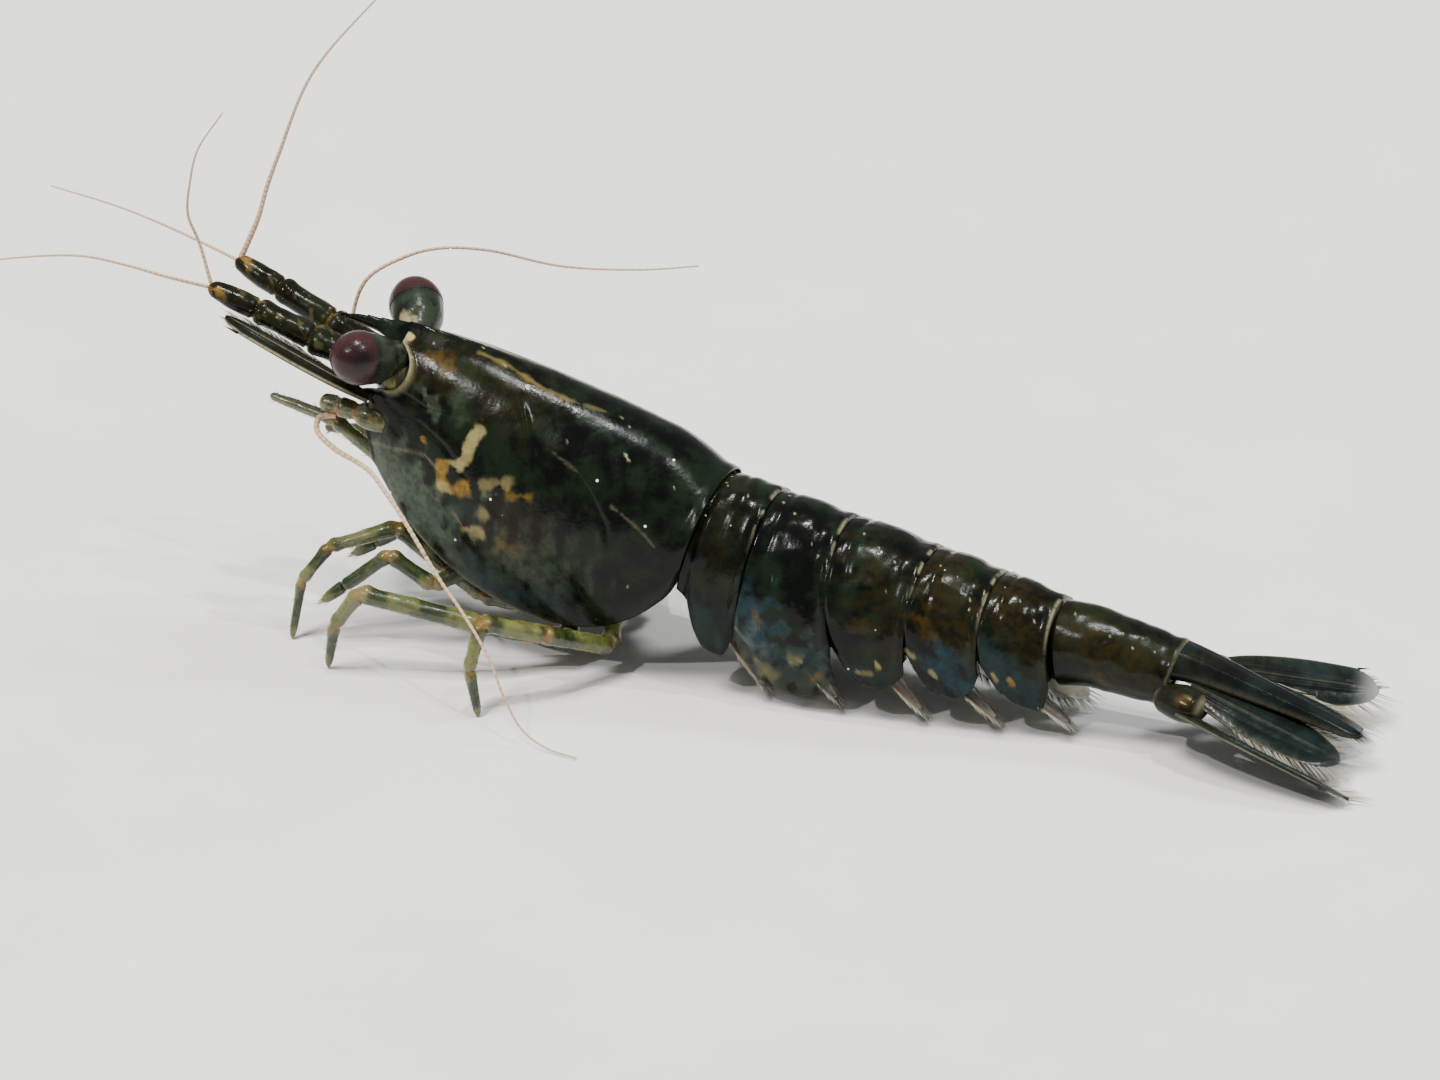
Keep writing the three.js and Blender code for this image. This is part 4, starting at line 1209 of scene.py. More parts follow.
@dataclass(frozen=True)
class Limb:
    """A jointed tube from a hip through its bends, with dark bands and amber joints.

    The radius tapers from joint to joint, pinched at each joint and flared just before it.
    """

    bends: tuple[Place, ...]
    radii: tuple[float, ...] = (0.26, 0.25, 0.25, 0.22, 0.17, 0.1)  # at the hip and each later point
    bands: tuple[Pair, ...] = ((0.2, 0.04), (0.42, 0.06), (0.68, 0.05), (0.92, 0.05))  # place, half width
    ambers: tuple[Pair, ...] = ()
    level: Triple = (0.2, 1.0, 0.3)
    flatness: float = 0.86  # height of its section as a share of its width
    sides: int = 22
    rows: int = 150
    rounding: float = 0.13

    def level_on(self, side: Side) -> Array:
        """The direction that the limb's width keeps closest to."""
        return np.array(self.level) * [1, side.value, 1]

    def path(self, hip: Array, side: Side) -> tuple[Array, Array]:
        """The limb's middle line and the fractions along it of its bends."""
        corners = np.vstack([hip, STANCE.standing(self.bends, side)])
        joints = travelled(corners)
        return jointed(corners, self.rows, self.rounding), joints / joints[-1]

    def surface(self, hip: Array, side: Side) -> Surface:
        """The limb's skin, painted with its bands, joints and distance to the tip."""
        path, joints = self.path(hip, side)
        t = steps(self.rows)
        radius = np.interp(t, joints, self.radii)
        length = travelled(path)[-1]
        amber = np.zeros_like(t)
        for joint in joints[1:-1]:
            near = (t - joint) * length
            flare = 0.14 * bump(near + 0.16, 0.1) + 0.08 * bump(near - 0.16, 0.1)
            radius = radius * (1 - 0.2 * bump(near, 0.05) + flare)
            amber = np.maximum(amber, 0.8 * bump(near, 0.12))
        radius = radius * rounded_ends(t, 0.02, 0.03)
        rings = ringed(path, radius, radius * self.flatness, self.sides, self.level_on(side))
        rings = roughened(rings, path, radius, 0.05, 0.8, 12)
        rings[..., 2] = np.maximum(rings[..., 2], 0.0)
        band = np.zeros(rings.shape[:2])
        noise = waves(rings, 0.6, 77)
        for centre, half in self.bands:
            away = np.abs(t - centre)[:, None] / half + 0.3 * noise
            band = np.maximum(band, rise(away, 1.25, 0.7))
        for centre, half in self.ambers:
            amber = np.maximum(amber, rise(np.abs(t - centre) / half, 1.3, 0.5))
        amber = held(amber[:, None] * (0.8 + 0.3 * noise))
        return tube(rings, coat(band.shape, band, amber, (t[:, None] * 0.8) ** 2))

    def bristled(self, hip: Array, side: Side, count: int, length: float, seed: int) -> Surface:
        """The limb's skin with short bristles on its outer half, leaning towards its tip."""
        draw = np.random.default_rng(seed)
        path, joints = self.path(hip, side)
        t = draw.uniform(0.35, 0.97, count)
        at = t * (self.rows - 1)

        def between(rows: Array) -> Array:
            """Values of the path's rows at the bristles' places between them."""
            return np.stack([np.interp(at, np.arange(self.rows), axis) for axis in rows.T], axis=1)

        along, across, up = (between(way) for way in directions(path, self.level_on(side)))
        turn = draw.uniform(0, 2 * math.pi, count)[:, None]
        outward = across * np.cos(turn) + up * np.sin(turn)
        radius = np.interp(t, joints, self.radii)[:, None] * 0.8
        lengths = length * draw.uniform(0.5, 1.0, count)
        hairs = bristles(between(path) + outward * radius, along * 1.2 + outward, lengths, 0.009)
        return joined([self.surface(hip, side), hairs])


WALKING_LEGS = {
    (3, Side.LEFT): Limb(
        ((-4.5, 0.95, 1.12), (-5.6, 0.93, 1.18), (-6.6, 0.82, 1.7), (-7.8, 1.02, 2.62),
         (-9.25, 1.75, 2.2), (-9.8, 2.2, 1.4), (-9.9, 2.6, 0.02)),
        (0.26, 0.26, 0.25, 0.25, 0.23, 0.18, 0.15, 0.1),
        bands=((0.2, 0.05), (0.36, 0.05), (0.53, 0.06), (0.75, 0.05), (0.93, 0.06)),
    ),
    (3, Side.RIGHT): Limb(
        ((-4.3, 1.35, 0.85), (-6, 2.5, 1.2), (-7.9, 3.6, 2.2), (-8.4, 3.9, 1.2), (-8.5, 4, 0.02)),
        (0.26, 0.26, 0.26, 0.22, 0.17, 0.1),
        bands=((0.25, 0.05), (0.5, 0.06), (0.72, 0.04), (0.93, 0.05)),
    ),
    (4, Side.LEFT): Limb(
        ((-3.2, 1.6, 0.74), (-5, 2.75, 1.35), (-7.75, 3.5, 2.02), (-8.3, 3.75, 1.2), (-8.5, 3.7, 0.02)),
        (0.27, 0.28, 0.28, 0.24, 0.18, 0.1),
        bands=((0.14, 0.03), (0.36, 0.035), (0.55, 0.045), (0.7, 0.03), (0.92, 0.05)),
        ambers=((0.28, 0.03), (0.22, 0.02)),
    ),
    (4, Side.RIGHT): Limb(
        ((-3.2, 1.6, 0.72), (-4.4, 3, 1.5), (-5.8, 4.1, 2.2), (-6.2, 4.5, 1.2), (-6.2, 4.6, 0.02)),
        (0.26, 0.26, 0.26, 0.22, 0.17, 0.1),
    ),
    (5, Side.LEFT): Limb(
        ((-2.1, 1.65, 0.78), (-3.2, 3.2, 1.6), (-4.4, 4.1, 2.1), (-4.5, 4.6, 1.1), (-4.2, 4.8, 0.02)),
    ),
    (5, Side.RIGHT): Limb(
        ((-2.1, 1.65, 0.78), (-2.7, 3.1, 1.6), (-3.4, 4.2, 2.1), (-3.3, 4.7, 1.1), (-2.9, 4.9, 0.02)),
    ),
}
CLAW_LEGS = {
    (1, Side.LEFT): ((-6.6, 0.42, 2.4), (-7.9, 0.4, 2.3), (-9, 0.62, 1.6)),
    (1, Side.RIGHT): ((-6.6, 0.42, 2.4), (-7.8, 0.42, 2.2), (-8.8, 0.7, 1.4)),
    (2, Side.LEFT): ((-5.6, 0.96, 2.04), (-6.65, 1.62, 1.57), (-7.65, 1.9, 2.32), (-9.1, 2.3, 1.12)),
    (2, Side.RIGHT): ((-5.2, 1.15, 1.45), (-6.5, 1.7, 1.6), (-7.3, 2.1, 2.2), (-8.5, 2.9, 0.9)),
}


@dataclass
class Legs:
    """The claw legs, the walking legs and the mouth legs of both sides."""

    claw_length: float = 0.62
    claw_radius: float = 0.15
    finger: float = 0.07  # half thickness of a finger
    brush: int = 46
    mouth_root: Pair = (-6.4, 0.42)
    mouth_bends: dict = field(default_factory=lambda: {
        Side.LEFT: ((-8.3, 0.5, 4.0), (-9.6, 0.46, 4.91), (-11.3, 0.42, 5.26)),
        Side.RIGHT: ((-8.3, 0.5, 3.8), (-9.2, 0.5, 4.25), (-10.2, 0.3, 4.3)),
    })

    def claw(self, wrist: Array, way: Array) -> Surface:
        """Two spooned fingers with a brush of hairs at their tips."""
        level = np.array([0.0, 1.0, 0.0])
        across = unit(level - way * (level @ way))
        t = steps(26)[:, None]
        bow = 0.075 * np.sin(math.pi * held(t * 0.9 + 0.08)) + 0.035
        ends = rounded_ends(t[:, 0], 0.05, 0.3)
        high = self.claw_radius * mix(1.0, 0.75, t[:, 0]) * ends
        parts = []
        for turn in (-1, 1):
            path = wrist + way * (t * self.claw_length) + across * (turn * bow)
            rings = ringed(path, self.finger * ends, high, 16, across)
            parts.append(tube(rings, coat(rings.shape[:2], rise(t, 0.9, 0.2), 0, 0.3 + 0.5 * t)))
        draw = np.random.default_rng(5)
        roots = wrist + way * self.claw_length * draw.uniform(0.75, 0.97, (self.brush, 1))
        roots = roots + draw.normal(0, 0.05, (self.brush, 3))
        ways = way + draw.normal(0, 0.3, (self.brush, 3))
        parts.append(bristles(roots, ways, draw.uniform(0.14, 0.28, self.brush), 0.008))
        return joined(parts)

    def claw_leg(self, hip: Array, bends: tuple[Place, ...], side: Side) -> Surface:
        """A leg that ends in a claw, whose tip is the last bend."""
        before, tip = STANCE.standing(bends[-2:], side)
        way = unit(tip - before)
        wrist = tip - way * self.claw_length * 0.8
        inner = tuple((wrist - STANCE.shift) * [1, side.value, 1])
        radii = (0.25, *np.linspace(0.24, 0.2, len(bends) - 1), 0.19)
        limb = Limb((*bends[:-1], inner), radii, bands=((0.3, 0.12), (0.62, 0.12), (0.9, 0.12)))
        return joined([limb.surface(hip, side), self.claw(wrist, way)])

    def build(self, finishes: "Finishes") -> None:
        """Builds every leg, one piece for each solid."""
        for (number, side), limb in WALKING_LEGS.items():
            hip = hip_place(HIPS[number - 1], HIP_ACROSS, side)
            leg = limb.bristled(hip, side, 70, 0.16, number * 3 + side.value)
            piece(f"walking_leg_{number}_{side.word}", leg, finishes.limb, "limb")
        for (number, side), bends in CLAW_LEGS.items():
            hip = hip_place(HIPS[number - 1], HIP_ACROSS, side)
            piece(f"cheliped_{number}_{side.word}", self.claw_leg(hip, bends, side), finishes.limb, "limb")
        for side in Side:
            limb = Limb(self.mouth_bends[side], (0.22, 0.2, 0.19, 0.12), bands=((0.62, 0.06),))
            leg = limb.bristled(hip_place(*self.mouth_root, side), side, 90, 0.22, 50 + side.value)
            piece(f"maxilliped_{side.word}", leg, finishes.limb, "limb")


@dataclass
class Swimmerets:
    """Five pairs of paddles under the belly: a stem and two fringed leaves that sweep back."""

    clear: float = 0.34  # height of the leaves' tips above the floor
    across: float = 0.66  # how far out the roots are, as a share of the room between the side plates
    leaves: tuple[Triple, ...] = ((1.25, 0.3, 1.0), (0.85, 0.0, 0.9))
    roots: Pair = (0.05, -0.08)  # how far out each leaf starts
    half_width: float = 0.4
    stem: Pair = (0.3, 0.16)  # half its width and half its thickness

    def build(self, segments: Sequence[Segment], finishes: "Finishes") -> None:
        """Builds the paddles of each segment and one piece for all their fringes."""
        fringes = []
        for segment in segments:
            for side in Side:
                paddle, hairs = self.paddle(segment, side)
                piece(f"pleopod_{segment.index + 1}_{side.word}", paddle, finishes.paddle, "paddle")
                fringes.append(hairs)
        piece("swimmeret_fringe", joined(fringes), finishes.hair, "paddle", solid=False)

    def paddle(self, segment: Segment, side: Side) -> tuple[Surface, Surface]:
        """One paddle, and its fringe."""
        room = segment.half_width[1] - 0.42
        ends = [joint_place(segment.index + i, np.array(segment.belly)) for i in (0, 1)]
        middle = float(sum(ends)) / 2 - 0.15
        root = STANCE.posed([[middle, room * self.across, segment.belly + 0.1]], side)[0]
        drop = (root[2] - self.clear) / 2
        knee = root + np.array([0.05, 0, -drop])
        path = jointed([root, root * 0.5 + knee * 0.5 + [-0.06, 0, 0], knee + [0.03, 0, -0.1]], 30)
        wide, high = (size * rounded_ends(steps(30), 0.05, 0.3) for size in self.stem)
        level = np.array([0.25, side.value * 1.0, 0.2])
        parts, hairs = [tube(ringed(path, wide, high, 24))], []
        for number, (back, out, down) in enumerate(self.leaves):
            tip = knee + np.array([back, side.value * out * room, -drop * down])
            start = knee + np.array([-0.02, side.value * self.roots[number], 0.12])
            leaf = Blade(start, tip, self.half_width, level, LEAF, thickness=0.07, rib=0.03, crown=0.05,
                         rows=44, columns=25)
            parts.append(leaf.surface(self.tint))
            hairs.append(leaf.fringe(110, 0.42, 0.15, (-1, 1), 100 + segment.index * 7 + number))
        return joined(parts), joined(hairs)

    @staticmethod
    def tint(t: Array, share: Array) -> Array:
        """Paints a leaf: a dark streak, and a clearer rim."""
        streak = 0.6 * bump(share - 0.2, 0.18) * bump(t - 0.5, 0.3)
        return coat(t.shape, streak, rise(np.abs(share), 0.6, 1.0))


# ---- Head ----


@dataclass
class Eyes:
    """The eyes: a glossy cornea over the outer part of a ball, and the stalk that cups it."""

    radius: float = 0.66
    facing: Triple = (-0.55, 0.8, 0.15)
    root: Triple = (-8.0, 0.35, -0.6)
    cornea_edge: float = 97.0  # degrees from the middle of the cornea
    cup_edge: float = 124.0
    egg: float = 0.2  # how much longer than wide the outer half is
    hood: float = 0.3  # how far the stalk's cup is drawn out behind the ball
    neck: float = 0.6  # the neck's thickness at its root, as a share of that at the cup
    pupil: Triple = (0.25, 0.88, 0.40)  # the way that the cornea's darkest part looks
    # the stalk's painted highlight lies on the side that this way points to
    glint: Triple = (0.18, -0.98, 0.07)  # the way to the stalk's pale spot
    forward: float = 0.1  # how far the near ball leans ahead of its place at rest
    rows: int = 110
    sides: int = 96

    def build(self, finishes: "Finishes") -> None:
        """Builds both corneas and both stalks."""
        for side in Side:
            centre, root = STANCE.posed([STANCE.eye, self.root], side)
            facing = unit(STANCE.turned(np.array([self.facing]), side)[0])
            if side is Side.LEFT:
                centre = centre - np.array([self.forward, 0.0, 0.0])
            pupil, glint = (unit(np.array(way) * [1, side.value, 1]) for way in (self.pupil, self.glint))
            piece(f"eye_{side.word}", self.cornea(centre, facing, pupil), finishes.eye, "eye")
            stalk = self.stalk(centre, facing, root, glint)
            piece(f"eyestalk_{side.word}", stalk, finishes.stalk, "soft_shell")

    def around(self, centre: Array, facing: Array, polar: Array, radius: Array) -> Array:
        """Rings round the facing direction: centre + radius (facing cos(polar) + side sin(polar))."""
        across = unit(np.cross(facing, [0.0, 0.0, 1.0]))
        up = np.cross(across, facing)
        turn = around_once(self.sides)[None, :, None]
        way = across * np.cos(turn) + up * np.sin(turn)
        polar, radius = polar[:, None, None], radius[:, None, None]
        reach = np.cos(polar) * (1 + self.egg * held(np.cos(polar)) ** 0.5)
        return centre + radius * (facing * reach + way * np.sin(polar))

    def cornea(self, centre: Array, facing: Array, pupil: Array) -> Surface:
        """The cornea: a ball drawn out a little in front, closed behind by a dish."""
        edge = math.radians(self.cornea_edge)
        dish = np.linspace(0.985, 0.3, 12)
        polar = np.concatenate([np.linspace(0.004, edge, self.rows), np.full(len(dish), edge)])
        radius = self.radius * (1 - 0.03 * np.cos(polar) ** 2)
        radius[self.rows :] *= dish
        rings = self.around(centre, facing, polar, radius)
        core = rise(unit(rings - centre) @ pupil, 0.72, 0.97)
        rim = bump(np.degrees(polar) - self.cornea_edge, 7)[:, None]
        return tube(rings, coat(core.shape, core, rim))

    def stalk(self, centre: Array, facing: Array, root: Array, glint: Array) -> Surface:
        """The stalk: a cup that holds the cornea, and a neck that bends to its root on the face."""
        edge = math.radians(self.cornea_edge - 3)
        polar = np.linspace(edge, math.radians(self.cup_edge), 40)
        cup = self.around(centre, facing, polar, np.full(40, self.radius * 0.985))
        cup = cup - facing * (self.hood * rise(polar, edge, polar[-1]))[:, None, None]
        neck = cup[-1].mean(axis=0)
        bend = steps(24)[1:, None]
        corner = neck - facing * 0.25
        path = (1 - bend) ** 2 * neck + 2 * bend * (1 - bend) * corner + bend**2 * root
        rings = path[:, None] + (cup[-1] - neck)[None] * mix(1.0, self.neck, bend)[:, None]
        dish = cup[:1] * 0.35 + cup[:1].mean(axis=1, keepdims=True) * 0.65
        skin = np.concatenate([dish, cup, rings])
        t = steps(len(skin))[:, None]
        # painted highlight: a pale fleck on the side that the glint's way points to
        glint_spot = rise(unit(skin - centre) @ glint + 0.02 * waves(skin, 0.5, 19), 0.955, 0.985)
        return tube(skin, coat(glint_spot.shape, bump(t - 0.1, 0.12), glint_spot, rise(t, 0.05, 0.5)))


@dataclass
class Antennules:
    """The three-jointed stems of the short feelers and their two whips each."""

    stems: dict = field(default_factory=lambda: {
        Side.LEFT: ((-7.9, 0.45, -1.22), (-12.98, 0.83, -0.86)),
        Side.RIGHT: ((-7.9, 0.45, -1.46), (-12.98, 0.83, -0.86)),
    })
    joints: Pair = (0.46, 0.75)
    radius: Pairs = ((0, 0.42), (0.25, 0.4), (0.46, 0.39), (0.6, 0.35), (0.75, 0.33), (0.9, 0.29), (1, 0.2))
    flatness: float = 0.84  # height of its section as a share of its width
    rows: int = 150
    sides: int = 40
    whips: dict = field(default_factory=lambda: {
        ("outer", Side.LEFT): (0.05, (
            (-13.5, 1.45, 8.45), (-14.3, 1.75, 8.72), (-15.4, 2.1, 8.95), (-17.1, 2.7, 8.85),
            (-18.7, 3.1, 8.5),
        )),
        ("inner", Side.LEFT): (0.055, (
            (-12.9, 0.75, 9.1), (-13.12, 0.9, 9.9), (-13, 1, 10.8), (-12.74, 1.1, 11.7), (-12, 1.25, 12.85),
        )),
        ("outer", Side.RIGHT): (0.05, (
            (-13.5, 1.4, 7.98), (-15, 1.9, 8.13), (-16.4, 2.35, 8.2), (-18.5, 3, 8.15),
        )),
        ("inner", Side.RIGHT): (0.085, (
            (-12.1, 0.9, 9.2), (-11.94, 1.1, 9.95), (-11.69, 1.3, 10.8), (-11, 1.8, 12.78),
            (-9.2, 2.7, 15.15),
        )),
    })  # each whip's radius at its root, and its route from there

    def stem_surface(self, start: Array, end: Array) -> Surface:
        """The stem: three barrels, each flared at its far end, and pinched where they meet."""
        t = steps(self.rows)
        path = start + (end - start) * t[:, None]
        radius = profile(self.radius)(t)
        joint = np.zeros_like(t)
        for place in self.joints:
            near = (t - place) * np.linalg.norm(end - start)
            joint = np.maximum(joint, bump(near, 0.06))
            flare = 0.1 * bump(near + 0.2, 0.13) - 0.05 * bump(near - 0.15, 0.12)
            radius = radius * (1 - 0.24 * bump(near, 0.045) + flare)
        radius = radius * rounded_ends(t, 0.03, 0.04)
        rings = ringed(path, radius, radius * self.flatness, self.sides)
        rings = roughened(rings, path, radius, 0.035, 0.7, 14)
        noise = waves(rings, 0.45, 15)
        amber = 0.3 * joint[:, None] * rise(noise, -0.3, 0.3)
        amber += (0.8 * bump(t - 0.95, 0.035))[:, None] * rise(noise, -0.1, 0.4)
        cream = 0.12 * rise(noise, 0.6, 0.85)
        # the stem's painted glints: a few golden specks of painted highlight
        return tube(rings, coat(noise.shape, amber=amber, cream=cream, olive=0.45, glitter=0.12))

    def thorns(self, start: Array, way: Array, out: Array) -> Surface:
        """The long point beside the stem's first barrel and the small points at its joints."""
        along = np.array([[0.1], [0.42], [0.7]])
        roots = start + way * along + out * np.array([[0.3], [0.3], [0.25]])
        ways = way + out * np.array([[1.2], [0.6], [0.5]])
        return bristles(roots, ways, np.array([1.1, 0.3, 0.24]), 0.07)

    def hairs(self, start: Array, way: Array, out: Array, count: int = 60) -> Surface:
        """Short hairs along both sides of the stem."""
        draw = np.random.default_rng(33)
        t = draw.uniform(0.05, 0.98, (count, 1))
        out = out * draw.choice([-1, 1], (count, 1))
        return bristles(start + way * t + out * 0.27, way * 0.3 + out, np.full(count, 0.24), 0.009)

    def build(self, finishes: "Finishes") -> None:
        """Builds the stems and the whips."""
        for side in Side:
            start, end = STANCE.posed(self.stems[side], side)
            way, out = end - start, np.array([0.0, side.value, 0.0])
            parts = [self.stem_surface(start, end), self.thorns(start, way, out), self.hairs(start, way, out)]
            piece(f"antennule_base_{side.word}", joined(parts), finishes.shell, "limb")
            for word in ("outer", "inner"):
                radius, route = self.whips[word, side]
                places = np.vstack([end - way * 0.02, STANCE.standing(route, side)])
                piece(f"antennule_{word}_{side.word}", whip(places, radius, 0.02), finishes.feeler, "feeler")


def whip(
    route: Array, thick: float, thin: float, ring: float = 0.13, start: float = 0.0, end: float = 1.0
) -> Surface:
    """A ringed feeler: a tapering tube, swollen once in each ring's length.

    Args:
        route: the places it passes.
        thick: its radius at the start of the route, in millimetres.
        thin: its radius at the end of the route.
        ring: the length of one ring.
        start: the fraction of the route where this length of it begins.
        end: and where it ends.

    Returns:
        The feeler, whose first tint is 1 between rings and whose second is the fraction along it.
    """
    fine = 1600
    part = flowing(route, fine)[int(start * (fine - 1)) : int(end * (fine - 1)) + 1]
    length = travelled(part)[-1]
    count = int(length / ring * 6)
    path = resampled(part, count)
    t = mix(start, end, steps(count))
    phase = np.linspace(0, length / ring, count) % 1.0
    radius = mix(thick, thin, t**0.7) * (0.84 + 0.16 * np.sin(math.pi * phase) ** 0.7)
    radius = radius * rounded_ends(steps(count), 0.0 if start > 0 else 0.002, 0.004)
    rings = ringed(path, radius, radius, 10, (0.3, 1, 0.2))
    between = bump(np.minimum(phase, 1 - phase), 0.14)[:, None]
    return tube(rings, coat(rings.shape[:2], between, t[:, None]))


@dataclass
class Antennae:
    """The long antennae: stems, scales and whips in two lengths each."""

    stem: tuple[Place, Place] = ((-7.7, 0.95, -2.12), (-9.45, 1.17, -2.22))
    stem_radius: Pairs = ((0, 0.34), (0.3, 0.36), (0.5, 0.27), (0.75, 0.27), (1, 0.2))
    flatness: float = 0.88
    scales: dict = field(default_factory=lambda: {
        Side.LEFT: (((-8.25, 1.34, -1.54), (-12.2, 1.42, -1.1)), -8.0),
        Side.RIGHT: (((-8.25, 1.3, -1.72), (-12.05, 1.42, -1.4)), 18.0),
    })  # the ends of each scale, and the degrees that its outer edge hangs
    scale_half_width: float = 0.47
    split: float = 0.45
    routes: dict = field(default_factory=lambda: {
        Side.LEFT: (0.085, (
            (-9.25, 1.2, 5.42), (-9.58, 1.42, 5.4), (-9.5, 1.8, 5.25), (-8.95, 2.14, 5.03),
            (-7.95, 2.38, 4.72), (-7.38, 2.7, 4.38), (-6.68, 3.2, 3.95), (-5.4, 4.1, 3.01),
            (-4.74, 4.5, 2.57), (-3.8, 5.1, 1.77), (-3.3, 5.45, 1.05), (-2.7, 5.75, 0.38),
            (-2, 5.92, 0.1), (-1.2, 6.05, 0.06),
        )),
        Side.RIGHT: (0.07, (
            (-9.3, 1.2, 5.42), (-9.75, 1.5, 5.55), (-10.2, 2.05, 6.15), (-9.95, 2.35, 7.3), (-9.1, 2.9, 7.85),
            (-8.4, 3.3, 8), (-7.4, 3.8, 7.9), (-5.8, 4.6, 7.4), (-4, 5.3, 7.3), (-2.7, 5.8, 7.4),
        )),
    })  # each antenna's radius at its root, and its route

    def build(self, finishes: "Finishes") -> None:
        """Builds the stems, the scales with their fringes, and the whips."""
        fringes = []
        for side in Side:
            piece(f"antenna_base_{side.word}", self.stem_surface(side), finishes.limb, "limb")
            (start, end), hang = self.scales[side]
            start, end = STANCE.posed([start, end], side)
            scale = Blade(start, end, self.scale_half_width, hung(side, hang), STRAIGHT, thickness=0.12,
                          ribs=(0.0, 0.5), rib=0.07)
            spined = joined([scale.surface(self.scale_tint), scale.tooth(0.87, 0.1, 0.4, 0.05)])
            piece(f"antenna_scale_{side.word}", spined, finishes.fan, "fan")
            fringes.append(scale.fringe(110, 0.5, 0.25, (-1,), 90 + side.value))
            fringes.append(scale.fringe(20, 0.42, 0.9, (1,), 94 + side.value))
            thick, route = self.routes[side]
            route = STANCE.standing(route, side)
            for number, ends in enumerate(((0.0, self.split), (self.split, 1.0))):
                node = f"antenna_{number + 1}_{side.word}"
                piece(node, whip(route, thick, 0.022, 0.16, *ends), finishes.feeler, "feeler")
        piece("scale_fringe", joined(fringes), finishes.hair, "fan", solid=False)

    @staticmethod
    def scale_tint(t: Array, share: Array) -> Array:
        """Paints a scale: dark, with a pale outer edge, a pale line beside its rib and a clear inside."""
        lines = held(0.8 * bump(share - 0.93, 0.07) + 0.5 * bump(share - 0.2, 0.05))
        return coat(
            t.shape,
            seam=lines * rise(t, 1.0, 0.9),
            clear=0.75 * rise(share, -0.35, -0.95) * rise(t, 0.1, 0.4),
            olive=0.4,
            pale=0.6 * rise(share, -0.2, -0.8),
        )

    def stem_surface(self, side: Side) -> Surface:
        """The antenna's stem: a stout root and two slimmer barrels."""
        start, end = STANCE.posed(self.stem, side)
        t = steps(70)
        joint = np.maximum(bump(t - 0.48, 0.04), bump(t - 0.74, 0.03))
        radius = profile(self.stem_radius)(t) * (1 - 0.2 * joint) * rounded_ends(t, 0.04, 0.08)
        rings = ringed(start + (end - start) * t[:, None], radius, radius * self.flatness, 32)
        noise = waves(rings, 0.5, 25)
        dark = rise(noise + 0.5 * bump(t - 0.3, 0.15)[:, None], 0.2, 0.6)
        amber = held(joint[:, None] + rise(noise, 0.5, 0.8) * 0.6)
        return tube(rings, coat(noise.shape, dark, amber, 0.25))


# ---- Finishes ----

Socket = bpy.types.NodeSocket


class Pattern(Enum):
    """The node groups that the finishes share, by name."""

    MOTTLE = "Mottle"
    SPECKS = "Specks"
    RELIEF = "Relief"


class Graph:
    """Adds nodes to a material's or a group's tree, and joins their sockets."""

    def __init__(self, tree: bpy.types.NodeTree) -> None:
        """Works in one tree."""
        self.tree = tree

    def put(self, socket: Socket, value: object) -> None:
        """Joins another socket to a socket, or sets it to a number or a colour."""
        if isinstance(value, Socket):
            self.tree.links.new(value, socket)
        elif isinstance(value, tuple):
            socket.default_value = (*value, 1.0)
        else:
            socket.default_value = value

    def node(self, kind: str, inputs: dict, **settings: object) -> bpy.types.Node:
        """Adds a node.

        Args:
            kind: the node's type, without "ShaderNode".
            inputs: sockets, numbers or colours for its inputs, by name or number.
            settings: its other properties.

        Returns:
            The node.
        """
        node = self.tree.nodes.new(f"ShaderNode{kind}")
        for key, value in settings.items():
            setattr(node, key, value)
        for key, value in inputs.items():
            self.put(node.inputs[key], value)
        return node

    def blend(self, low: object, high: object, share: object) -> Socket:
        """A colour at a share of the way from low to high."""
        return self.node("Mix", {0: share, 6: low, 7: high}, data_type="RGBA").outputs[2]

    def cover(self, colour: object, over: object, mask: object, share: object) -> Socket:
        """A colour with another laid over it to a share of a mask."""
        return self.blend(colour, over, self.maths("MULTIPLY", mask, share))

    def ramp(self, value: object, low: object, high: object, start: float = 0.0, end: float = 1.0) -> Socket:
        """Takes low..high smoothly to start..end."""
        inputs = {"Value": value, "From Min": low, "From Max": high, "To Min": start, "To Max": end}
        return self.node("MapRange", inputs, interpolation_type="SMOOTHSTEP").outputs["Result"]

    def span(self, value: object, start: float, end: float) -> Socket:
        """Takes 0..1 smoothly to start..end."""
        return self.ramp(value, 0.0, 1.0, start, end)

    def maths(self, operation: str, first: object, second: object, clamp: bool = True) -> Socket:
        """One sum on two values, usually held between 0 and 1."""
        return self.node("Math", {0: first, 1: second}, operation=operation, use_clamp=clamp).outputs[0]

    def painted(self, name: str) -> list[Socket]:
        """The four painted values of a colour attribute."""
        attribute = self.node("Attribute", {}, attribute_name=name)
        parts = self.node("SeparateColor", {"Color": attribute.outputs["Color"]})
        return [*parts.outputs, attribute.outputs["Alpha"]]

    def place(self, pattern: Pattern, *values: float) -> Socket:
        """A shared pattern's output, with values for its inputs in their order."""
        group = bpy.data.node_groups[pattern.value]
        return self.node("Group", dict(enumerate(values)), node_tree=group).outputs[0]

    def mottle(self, size: float, low: float, high: float) -> Socket:
        """Cloudy patches: noise of a size in millimetres, with low..high taken to 0..1."""
        return self.place(Pattern.MOTTLE, size, low, high)

    def specks(self, size: float, radius: float, share: float) -> Socket:
        """Round specks in a share of the cells of a size in millimetres."""
        return self.place(Pattern.SPECKS, size, radius, share)

    def relief(self, size: float, pits: float, depth: float) -> Socket:
        """A normal bumped by fine relief of a size, depth millimetres high."""
        return self.bumped(self.place(Pattern.RELIEF, size, pits), depth)

    def bumped(self, height: Socket, depth: float) -> Socket:
        """A normal bumped by a height, depth millimetres from 0 to 1."""
        inputs = {"Strength": 1.0, "Distance": depth * MM, "Height": height}
        return self.node("Bump", inputs).outputs["Normal"]


